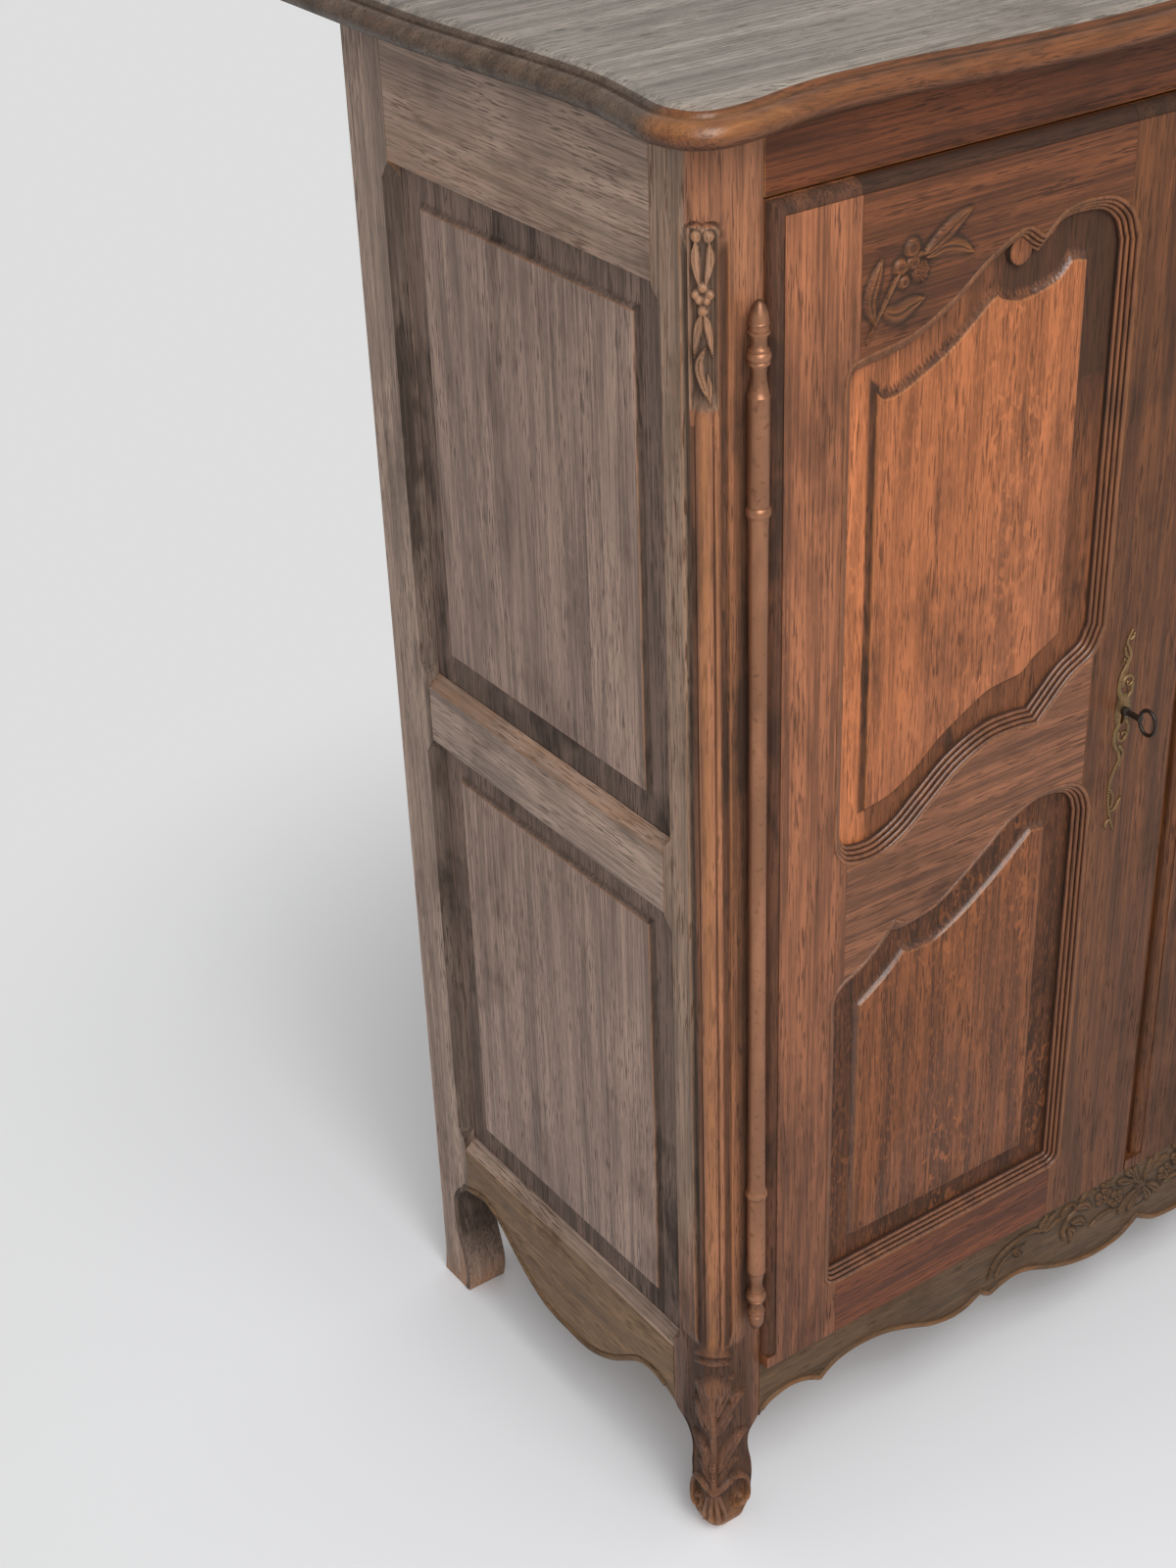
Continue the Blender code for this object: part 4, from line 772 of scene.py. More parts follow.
# Shader groups and finishes

def shader_group(name, inputs, outputs):
    """Shader group with named inputs and outputs, its wires, and its start and end."""
    made = bpy.data.node_groups.new(name, "ShaderNodeTree")
    for label, kind in inputs:
        made.interface.new_socket(label, in_out="INPUT", socket_type="NodeSocket" + kind)
    for label in outputs:
        made.interface.new_socket(label, in_out="OUTPUT", socket_type="NodeSocketFloat")
    w = Wires(made)
    return w, w.node("NodeGroupInput").outputs, w.node("NodeGroupOutput").inputs


class Wires:
    """Short hand for adding and joining nodes in one tree."""

    def __init__(self, made):
        self.made = made

    def node(self, kind, **settings):
        item = self.made.nodes.new(kind)
        for name, value in settings.items():
            setattr(item, name, value)
        return item

    def link(self, a, b):
        self.made.links.new(a, b)

    def feed(self, value, socket):
        """Set a socket to a number or a colour, or link it."""
        if isinstance(value, tuple):
            socket.default_value = (*value, 1.0)
        elif isinstance(value, (int, float)):
            socket.default_value = value
        else:
            self.link(value, socket)

    def math(self, operation, a, b=0.0, clamp=False):
        item = self.node("ShaderNodeMath", operation=operation, use_clamp=clamp)
        for socket, value in zip(item.inputs, (a, b)):
            self.feed(value, socket)
        return item.outputs[0]

    def times(self, a, b):
        return self.math("MULTIPLY", a, b)

    def plus(self, a, b, clamp=False):
        return self.math("ADD", a, b, clamp)

    def stretch(self, vector, scale):
        item = self.node("ShaderNodeVectorMath", operation="MULTIPLY")
        self.link(vector, item.inputs[0])
        item.inputs[1].default_value = scale
        return item.outputs[0]

    def noise(self, vector, scale, detail, rough, warp=0.0):
        """Noise at a place, which three numbers for the scale stretch."""
        item = self.node("ShaderNodeTexNoise")
        if isinstance(scale, tuple):
            vector, scale = self.stretch(vector, scale), 1.0
        self.link(vector, item.inputs["Vector"])
        settings = {"Scale": scale, "Detail": detail, "Roughness": rough, "Distortion": warp}
        for label, number in settings.items():
            item.inputs[label].default_value = number
        return item.outputs["Fac"]

    def band(self, value, low, high, to_low=0.0, to_high=1.0):
        item = self.node("ShaderNodeMapRange", interpolation_type="SMOOTHSTEP")
        self.link(value, item.inputs["Value"])
        for label, number in (("From Min", low), ("From Max", high), ("To Min", to_low), ("To Max", to_high)):
            item.inputs[label].default_value = number
        return item.outputs["Result"]

    def mix(self, factor, a, b, blend="MIX"):
        item = self.node("ShaderNodeMix", data_type="RGBA", blend_type=blend)
        self.feed(factor, item.inputs["Factor"])
        for label, value in (("A", a), ("B", b)):
            self.feed(value, [s for s in item.inputs if s.name == label and s.type == "RGBA"][0])
        return [s for s in item.outputs if s.type == "RGBA"][0]

    def attribute(self, name):
        return self.node("ShaderNodeAttribute", attribute_name=name).outputs["Fac"]

    def along(self, here, axis):
        """One coordinate of a place."""
        apart = self.node("ShaderNodeSeparateXYZ")
        self.link(here, apart.inputs[0])
        return apart.outputs[axis]

    def effect(self, name, here):
        """Outputs of a shared effect at a place."""
        item = self.node("ShaderNodeGroup", node_tree=bpy.data.node_groups[name])
        self.link(here, item.inputs["Place"])
        for mark_name in ("Worn", "Deep"):
            if mark_name in item.inputs:
                self.link(self.attribute(mark_name.lower()), item.inputs[mark_name])
        return item.outputs

    def blend(self, factor, a, b, output):
        """Mix two shaders into an output."""
        item = self.node("ShaderNodeMixShader")
        for value, socket in zip((factor, a.outputs[0], b.outputs[0]), item.inputs):
            self.link(value, socket)
        self.link(item.outputs[0], self.made.nodes[output].inputs["Surface"])

    def bump(self, height, strength, distance, shader):
        """Small height on a shader's surface."""
        item = self.node("ShaderNodeBump")
        item.inputs["Strength"].default_value = strength
        item.inputs["Distance"].default_value = distance
        self.link(height, item.inputs["Height"])
        self.link(item.outputs["Normal"], shader.inputs["Normal"])


def oak_grain_group():
    """Grain of oak that runs along Z: tone, open pores, ray flecks and height."""
    w, start, end = shader_group("oak grain", (("Place", "Vector"),), ("Tone", "Pores", "Flecks", "Height"))
    here = start["Place"]
    streak = w.noise(here, (520, 520, 8), 2.0, 0.5)
    sweep = w.noise(here, (60, 60, 2.2), 3.0, 0.6)
    fibre = w.noise(here, (720, 720, 46), 2.0, 0.5)
    drift = w.noise(here, (6, 6, 1.2), 2.0, 0.5)
    across = w.plus(w.times(w.along(here, "X"), 95.0), w.times(w.along(here, "Y"), 60.0))
    phase = w.plus(across, w.times(drift, 26.0))
    ring = w.plus(w.times(w.math("SINE", w.times(phase, 2.4)), 0.5), 0.5)
    tone = w.plus(w.plus(w.times(streak, 0.46), w.times(ring, 0.08)), w.times(sweep, 0.46))
    w.link(w.band(tone, 0.33, 0.67), end["Tone"])
    pores = w.times(w.band(fibre, 0.52, 0.64), w.band(ring, 0.15, 0.9, 0.45, 1.0))
    w.link(pores, end["Pores"])
    rays = w.noise(here, (170, 170, 75), 1.5, 0.5, 0.6)
    where = w.noise(here, (11, 11, 4), 1.0, 0.5)
    fine = w.noise(here, (640, 640, 90), 1.0, 0.5)
    flecks = w.times(w.band(rays, 0.56, 0.66), w.band(where, 0.48, 0.62))
    w.link(w.plus(flecks, w.times(w.band(fine, 0.54, 0.66), 0.6), True), end["Flecks"])
    w.link(w.math("SUBTRACT", w.times(streak, 0.6), w.times(pores, 0.7)), end["Height"])


def wear_group():
    """Old surface: rubbed edges with some painted highlight, and grime with painted shade in the hollows,
    both broken up.
    """
    inputs = (("Place", "Vector"), ("Worn", "Float"), ("Deep", "Float"))
    w, start, end = shader_group("wear and grime", inputs, ("Bare", "Grime", "Scuffs"))
    here = start["Place"]
    broken = w.noise(here, (110, 110, 22), 5.0, 0.7)
    w.link(w.times(start["Worn"], w.band(broken, 0.30, 0.66, 0.2, 1.0)), end["Bare"])
    blotch = w.noise(here, 6.5, 4.0, 0.62)
    smear = w.noise(here, (34, 34, 8), 3.0, 0.6)
    stain = w.plus(w.band(blotch, 0.52, 0.74), w.times(w.band(smear, 0.56, 0.72), 0.8))
    hollows = w.times(start["Deep"], w.band(broken, 0.2, 0.7, 1.0, 0.75))
    w.link(w.plus(hollows, w.times(stain, 0.46), True), end["Grime"])
    w.link(w.band(w.noise(here, (40, 400, 400), 2.0, 0.7), 0.64, 0.72), end["Scuffs"])


def old_metal_group():
    """Handled metal: rubbed patches, dark spots and a soft uneven height."""
    w, start, end = shader_group("old metal", (("Place", "Vector"),), ("Rubbed", "Spots", "Height"))
    here = start["Place"]
    drawn = w.stretch(here, (1, 1, 0.25))
    w.link(w.band(w.noise(drawn, 38.0, 4.0, 0.6), 0.42, 0.66), end["Rubbed"])
    w.link(w.band(w.noise(here, 160.0, 4.0, 0.65), 0.55, 0.70), end["Spots"])
    w.link(w.noise(here, 420.0, 3.0, 0.6), end["Height"])


ALONG = {"Z": (0, 0, 0), "X": (0, math.radians(90), 0), "Y": (math.radians(90), 0, 0)}


def scaled(colour, gain):
    """Colour made lighter or darker."""
    return tuple(min(v * gain, 1.0) for v in colour)


def blank(name, base):
    """New material with its wires, its shader and the place on its object."""
    material = bpy.data.materials.new(name)
    material.use_nodes = True
    material.diffuse_color = (*base, 1.0)
    w = Wires(material.node_tree)
    here = w.node("ShaderNodeTexCoord").outputs["Object"]
    return material, w, material.node_tree.nodes["Principled BSDF"], here


def oak(name, base, along, shift, contrast, flecks, rough, grime=0.85, bare=0.7, border=None, boards=(),
        scuffs=0.0, fade=None):
    """Waxed oak with its grain along one axis, worn edges with some painted highlight, grimy hollows with
    painted shade, and painted shade towards the bottom where fade is given.
    """
    c = colours()
    base, darkening, rubbed = tuple(base), tuple(c.grime), tuple(c.bare)
    _, w, shader, here = blank(name, base)
    turn = w.node("ShaderNodeMapping")
    turn.inputs["Rotation"].default_value = ALONG[along]
    turn.inputs["Location"].default_value = shift
    w.link(here, turn.inputs["Vector"])
    grain = w.effect("oak grain", turn.outputs["Vector"])
    wear = w.effect("wear and grime", turn.outputs["Vector"])
    contrast = 0.95 * contrast
    colour = w.mix(grain["Tone"], scaled(base, 1 - contrast), scaled(base, 1 + 0.85 * contrast))
    if border:
        edge = w.mix(grain["Tone"], scaled(border, 1 - contrast), scaled(border, 1 + 0.75 * contrast))
        colour = w.mix(w.attribute("field"), edge, colour)
    for axis, at, gain in boards:
        beyond = w.band(w.along(here, axis), at - 0.8 * SEAM, at + 0.8 * SEAM)
        seam = w.math("COMPARE", w.along(here, axis), at)
        seam.node.inputs[2].default_value = SEAM
        colour = w.mix(beyond, colour, (gain, gain, gain), "MULTIPLY")
        colour = w.mix(w.times(seam, 0.6), colour, darkening)
    colour = w.mix(w.times(grain["Pores"], 0.8), colour, scaled(base, 0.30))
    colour = w.mix(w.times(grain["Flecks"], flecks), colour, scaled(base, 1.9))
    # Grime and painted shade, mixed in by the deep mark.
    colour = w.mix(w.times(wear["Grime"], grime), colour, darkening)
    # Painted shade: the colour darkens towards the bottom, down to the fade's gain.
    if fade:
        low, high, gain = fade
        shaded = w.band(w.along(here, "Z"), low, high, 1.0, 0.0)
        colour = w.mix(shaded, colour, w.mix(1.0, colour, (gain, gain, gain), "MULTIPLY"))
    # Rubbed bare wood, and in a few places a painted highlight, by the worn mark.
    colour = w.mix(w.times(wear["Bare"], bare), colour, rubbed)
    if scuffs:
        colour = w.mix(w.times(wear["Scuffs"], scuffs), colour, SCUFF)
    w.link(colour, shader.inputs["Base Color"])
    gloss = w.plus(w.times(grain["Pores"], 0.18), rough)
    gloss = w.math("SUBTRACT", gloss, w.times(wear["Bare"], 0.14))
    w.link(w.plus(gloss, w.times(wear["Grime"], 0.40), True), shader.inputs["Roughness"])
    shader.inputs["Specular IOR Level"].default_value = 0.28
    w.link(w.times(w.attribute("polish"), 0.7), shader.inputs["Coat Weight"])
    shader.inputs["Coat Roughness"].default_value = 0.2
    w.bump(grain["Height"], 0.45, 0.0005, shader)


def metal(name, base, gain, rough, spots):
    """Old metal with rubbed patches and dark spots."""
    base, bright = tuple(base), scaled(base, gain)
    _, w, shader, here = blank(name, base)
    shader.inputs["Metallic"].default_value = 0.75
    old = w.effect("old metal", here)
    wear = w.effect("wear and grime", here)
    colour = w.mix(w.times(old["Rubbed"], 0.7), base, bright)
    colour = w.mix(w.times(wear["Bare"], 0.6), colour, bright)
    colour = w.mix(w.times(old["Spots"], spots), colour, scaled(base, 0.25))
    colour = w.mix(w.times(wear["Grime"], 0.7), colour, scaled(base, 0.18))
    w.link(colour, shader.inputs["Base Color"])
    w.link(w.plus(w.times(old["Spots"], 0.25), rough, True), shader.inputs["Roughness"])
    w.bump(old["Height"], 0.25, 0.0003, shader)


class CUPBOARD_OT_finishes(bpy.types.Operator):
    """Mix the oak and metal finishes"""
    bl_idname = "cupboard.finishes"
    bl_label = "Finishes"

    def execute(self, context):
        oak_grain_group()
        wear_group()
        old_metal_group()
        c = colours()
        oak("side oak upright", c.side, "Z", (0.3, 0.1, 0.2), 0.46, 0.10, 0.52)
        oak("side panel oak", c.side_panel, "Z", (0.3, 0.1, 0.2), 0.46, 0.12, 0.52,
            boards=((1, -0.055, 0.90), (1, 0.075, 1.08)))
        oak("side oak level", c.side, "Y", (0.7, 0.4, 0.3), 0.46, 0.05, 0.52)
        oak("side apron oak", c.side_apron, "Y", (0.2, 0.5, 0.6), 0.46, 0.05, 0.52, border=c.side)
        oak("hinge stile oak", c.stile, "Z", (0.13, 0.9, 0.5), 0.52, 0.10, 0.43, fade=(0.25, 1.05, 0.66))
        oak("meeting stile oak", c.meeting, "Z", (0.83, 0.6, 0.1), 0.52, 0.10, 0.43)
        oak("reed oak", c.reeds, "Z", (0.33, 0.4, 0.7), 0.45, 0.0, 0.40)
        for rail, shift in (("top", (0.53, 0.2, 0.8)), ("middle", (0.23, 0.6, 0.3)),
                            ("bottom", (0.73, 0.8, 0.1))):
            oak(f"door {rail} rail oak", getattr(c, rail + "_rail"), "X", shift, 0.52, 0.06, 0.43)
        # The upper panel's border is painted half again as light as its field: painted light that lifts the
        # shade between the moulding and the bevel.
        oak("upper panel oak", c.upper, "Z", (0.05, 0.33, 0.12), 0.42, 0.42, 0.42, grime=0.9,
            border=scaled(c.upper, 1.5))
        oak("lower panel oak", c.lower, "Z", (0.61, 0.03, 0.72), 0.66, 0.75, 0.40, grime=0.65,
            border=scaled(c.lower, 0.70))
        oak("post oak", c.post, "Z", (0.23, 0.77, 0.41), 0.50, 0.10, 0.44, border=c.post_side,
            fade=(0.20, 0.36, 0.50))
        oak("frieze oak", c.frieze, "X", (0.91, 0.14, 0.37), 0.55, 0.10, 0.42)
        oak("apron oak", c.apron, "X", (0.37, 0.57, 0.19), 0.46, 0.05, 0.50, bare=0.34)
        oak("top oak", c.top, "X", (0.17, 0.27, 0.97), 0.50, 0.08, 0.46, grime=0.55, scuffs=0.45)
        oak("top edge oak", c.edge, "X", (0.17, 0.27, 0.97), 0.55, 0.15, 0.40, border=c.edge_side)
        for name, along, shift in (("upright", "Z", (0.44, 0.61, 0.83)), ("level", "X", (0.24, 0.71, 0.53)),
                                   ("deep", "Y", (0.64, 0.31, 0.13))):
            oak("inner oak " + name, c.inside, along, shift, 0.34, 0.15, 0.62, grime=0.4, bare=0.3)
        metal("hinge bronze", c.bronze, 1.5, 0.42, 0.35)
        metal("plate brass", c.brass, 1.7, 0.45, 0.6)
        metal("old iron", c.iron, 2.0, 0.48, 0.6)
        return {"FINISHED"}


# Shares of the top's overhang along the front, round the ear and along the side, then its edge moulding
TOP_FRONT = ((1, 0.783), (0.857, 0.859), (0.714, 0.957), (0.607, 1), (0.5, 0.935), (0.393, 0.815),
             (0.295, 0.685), (0.196, 0.652), (0.125, 0.739), (0.0625, 0.913), (0.009, 1))
TOP_EAR = ((0.391, 0.935), (0.783, 0.652), (0.978, 0.174))
TOP_SIDE = ((0.025, 1), (0.104, 0.87), (0.1875, 0.772), (0.281, 0.804), (0.396, 0.891), (0.5, 0.978),
            (0.625, 1.065), (0.75, 1.087))
TOP_MOULD = ((((0.583, 0), (0.40, 0.015), (0.21, 0.09), (0.06, 0.22), (0, 0.37), (0.03, 0.50), (0.125, 0.62),
               (0.25, 0.71), (0.40, 0.757)), 4),
             (((0.415, 0.76), (0.47, 0.735), (0.545, 0.735), (0.583, 0.76)), 3),
             (((0.60, 0.80), (0.66, 0.87), (0.75, 0.915), (0.86, 0.955), (0.96, 0.985), (1.06, 1.0)), 4))


class CUPBOARD_OT_top_board(bpy.types.Operator):
    """Shape the moulded top with its eared corners and wavy front"""
    bl_idname = "cupboard.top_board"
    bl_label = "Top board"

    def execute(self, context):
        points = [(HALF * f, -over * TOP_OVER) for f, over in TOP_FRONT]
        points += [(-u * TOP_OVER, -y * TOP_OVER) for u, y in TOP_EAR]
        points += [(-over * TOP_OVER, BODY_D * f) for f, over in TOP_SIDE]
        half = np.vstack((smooth(points, 10), (points[-1][0], BODY_D + TOP_BACK)))
        along = np.gradient(half, axis=0)
        along /= np.linalg.norm(along, axis=1)[:, None]
        inward = np.c_[along[:, 1], -along[:, 0]]
        inward[0], inward[-1] = (0, 1), (1, 0)
        warm = np.clip((14.0 - half[:, 1]) / 30.0, 0, 1)
        corner = np.exp(-(np.maximum(half[:, 0], 0) / 60.0) ** 2)
        warm, corner = np.r_[warm[::-1], warm[1:]], np.r_[corner[::-1], corner[1:]]
        rings, worn, deep = [], [], []
        for step, rise in np.vstack([smooth(run, steps) for run, steps in TOP_MOULD]):
            ring = half + inward * (step * TOP_EDGE)
            whole = np.vstack((ring[::-1], np.c_[BODY_W - ring[1:, 0], ring[1:, 1]]))
            rings.append(place(whole[:, 0], whole[:, 1], POST_H + FIT + rise * TOP_T))
            # Rubbed wear with a painted highlight on the upper front of the nose, strongest at the front
            # corner.
            rub = np.interp(rise, (0.2, 0.4, 0.6, 0.72, 0.9), (0.0, 0.25, 0.7, 0.5, 0.1))
            worn.append(rub * (0.15 + warm * (0.15 + 0.75 * corner)))
            # Painted shade under the nose of the moulding, rising towards its underside; grime in the quirk.
            in_quirk = 0.42 < step < 0.6
            deep.append(np.full(len(whole), 0.9 if in_quirk else np.interp(rise, (0.02, 0.25), (0.75, 0.0))))
        mesh = loft(rings, {"worn": worn, "deep": deep, "polish": np.clip(worn, 0, 1) * 0.5,
                            "field": np.tile(warm, len(rings))})
        item = piece("top_board_moulded", mesh, "top edge oak", "carcass", ["top_board"], 30)
        item.data.materials.append(bpy.data.materials["top oak"])
        level = (POST_H + FIT + 0.9 * TOP_T) / 1000
        for face in item.data.polygons:
            face.material_index = int(face.center.z > level)
        return {"FINISHED"}


# Carved drop, knee leaf and scroll foot of the corner posts

def turned_over(path, side, share=1.0):
    """Path on one side of the corner line, or its narrower mirror image."""
    return [(side * share * a, b) for a, b in path]


def drop_relief(s, z):
    """Height of the carved drop on the corner, with the grime of its hollows."""
    across = np.abs(s)
    within = np.where(z > DROP_EYE_Z, 6.6 - np.hypot(across - 5.6, z - DROP_EYE_Z), 12.2 - across)
    sunk = np.clip(within / 1.4, 0, 1)
    fade = np.clip((z - DROP_Z) / 28.0, 0, 1)
    ground = -DROP_DEPTH * sunk * fade * fade * (3 - 2 * fade)
    turn = np.radians(np.linspace(-12, 123, 16))
    forms, grooves = [], [np.zeros(s.shape)]
    for side in (-1, 1):
        forms.append(knob(s, z, (side * 5.4, DROP_EYE_Z + 0.5), 5.9, 5.0))
        forms.append(knob(s, z, (side * 6.0, 1246.5), 4.9, 4.6))
        for leaf, width in ((((5.4, 1284), (6.2, 1270), (1.4, 1251)), 10.0),
                            (((0.8, 1233), (4.8, 1220), (7.6, 1200)), 9.4)):
            forms.append(stroke(s, z, turned_over(leaf, side), width, 4.2, vein=0.3))
        arch = np.c_[side * (5.6 + 10.2 * np.cos(turn)), DROP_EYE_Z + 10.2 * np.sin(turn)]
        grooves.append(stroke(s, z, arch, 3.4, 2.4, "even", steps=3))
    for spot, r in (((0, 1252.0), 5.0), ((-2.9, 1243.0), 4.4), ((3.1, 1242.5), 4.4), ((0, 1235.0), 5.4)):
        forms.append(knob(s, z, spot, r, 5.0))
    tip = ((1.6, 1208), (-3.6, 1195), (-0.4, 1181), (4.8, 1168))
    forms += [stroke(s, z, tip, 10.0, 4.6, vein=0.4),
              stroke(s, z, ((3.2, 1188), (5.4, 1177), (4.8, 1164)), 6.0, 3.6)]
    groove = highest(*grooves)
    rise = np.where(sunk > 0.3, highest(*forms, np.zeros(s.shape)), 0) * np.clip((z - DROP_Z - 6) / 8.0, 0, 1)
    hollow = np.clip(-ground / DROP_DEPTH, 0, 1) * np.clip(1.2 - rise / 3.0, 0, 1)
    return ground + rise - groove, np.clip(hollow + groove / 3.0, 0, 1), rise


def knee_relief(s, z):
    """Height of the hood and leaves on the knee and of the two scrolls of the foot."""
    forms = [stroke(s, z, ((0, 64), (0, 110), (0, 150), (0, 186)), 8.0, 4.4, "even")]
    lobes = ((((3, 138), (13, 158), (27, 172), (41, 178)), 20.0, 4.2),
             (((2, 160), (9, 184), (20, 199), (32, 203)), 16.0, 3.2),
             (((4, 86), (13, 104), (25, 118), (37, 124)), 20.0, 3.8),
             (((3, 72), (10, 82), (20, 90), (28, 90)), 10.0, 2.6))
    scroll = ((0, 60), (12, 68), (26, 70), (38, 62), (42, 48), (38, 34), (28, 28), (20, 36), (24, 46),
              (31, 46))
    for side, share in ((-1, 0.74), (1, 1.0)):
        for path, width, height in lobes:
            forms.append(stroke(s, z, turned_over(path, side, share), width, height, vein=0.6))
        forms.append(stroke(s, z, turned_over(scroll, side, share), 9.0, 4.6, "taper", steps=5))
        forms.append(knob(s, z, (side * share * 29, 43), 5.0, 4.6))
    for spread in (-10, -3.4, 3.4, 10):
        toe = ((0.5 * spread, 54), (spread, 30), (1.2 * spread, 9))
        forms.append(stroke(s, z, toe, 5.6, 2.8, "even"))
    hood = knob(s, z, (1, 199), 15.0, 4.6, 1.2)
    for spread in (-7, 0, 7):
        line = s - spread * (z - 176) / 24
        hood = hood - 1.2 * np.exp(-(line / 1.3) ** 2) * (z < 207)
    for ring in (((-18, 236), (-8, 240), (8, 240), (18, 236)), ((-22, 225), (-9, 231), (9, 231), (26, 222))):
        forms.append(stroke(s, z, ring, 5.0, 2.4, "even"))
    within = np.clip((47.0 - np.abs(s)) / 6.0, 0, 1) * np.clip((COLUMN_FOOT + 4 - z) / 8, 0, 1)
    within = within * np.clip((z - 3) / 8, 0, 1)
    out = np.maximum(highest(hood, *forms), -1.4) * within
    return out, np.clip(0.95 - out / 2.2, 0, 1) * within * 0.66


# Post up to the top of its knee, by share of that height: width, depth, swell and corner radius
POST_FOOT = ((0, 0.70, 0.52, -1.7, 0.80), (0.046, 0.757, 0.563, -0.7, 0.86), (0.115, 0.81, 0.588, 0, 0.88),
             (0.2, 0.838, 0.597, 0.4, 0.90), (0.277, 0.847, 0.58, 0.24, 0.86),
             (0.373, 0.82, 0.605, -0.4, 0.774), (0.435, 0.838, 0.672, -0.4, 0.774),
             (0.485, 0.92, 0.80, -0.2, 0.839), (0.538, 1, 1, 0.2, 0.903), (0.635, 1, 1, 0.7, 0.903),
             (0.769, 1, 1, 1, 0.903), (0.885, 1, 1, 0.9, 0.903), (0.969, 1, 1, 0.2, 1), (1.0, 1, 1, 0, 1))
# Lower and upper stopped chamfer of a post
POST_CHAMFERS = ((SIDE_LOW_TOP - 4, SIDE_MID_Z[0]), (SIDE_MID_Z[1] - 4, SIDE_TOP_Z))


def post_heights():
    """Heights of the post's sections, close together where it is carved and at the chamfers' stops."""
    heights = [np.arange(0, 268, 1.6), np.linspace(270, 1140, 30), np.arange(1145, 1306, 1.0),
               (1312, 1330, 1350, 1360.2, POST_H)]
    for low, high in POST_CHAMFERS:
        heights += [np.linspace(low, low + CHAMFER_STOP, 7), np.linspace(high - CHAMFER_STOP, high, 7)]
    return np.unique(np.round(np.concatenate(heights), 2))


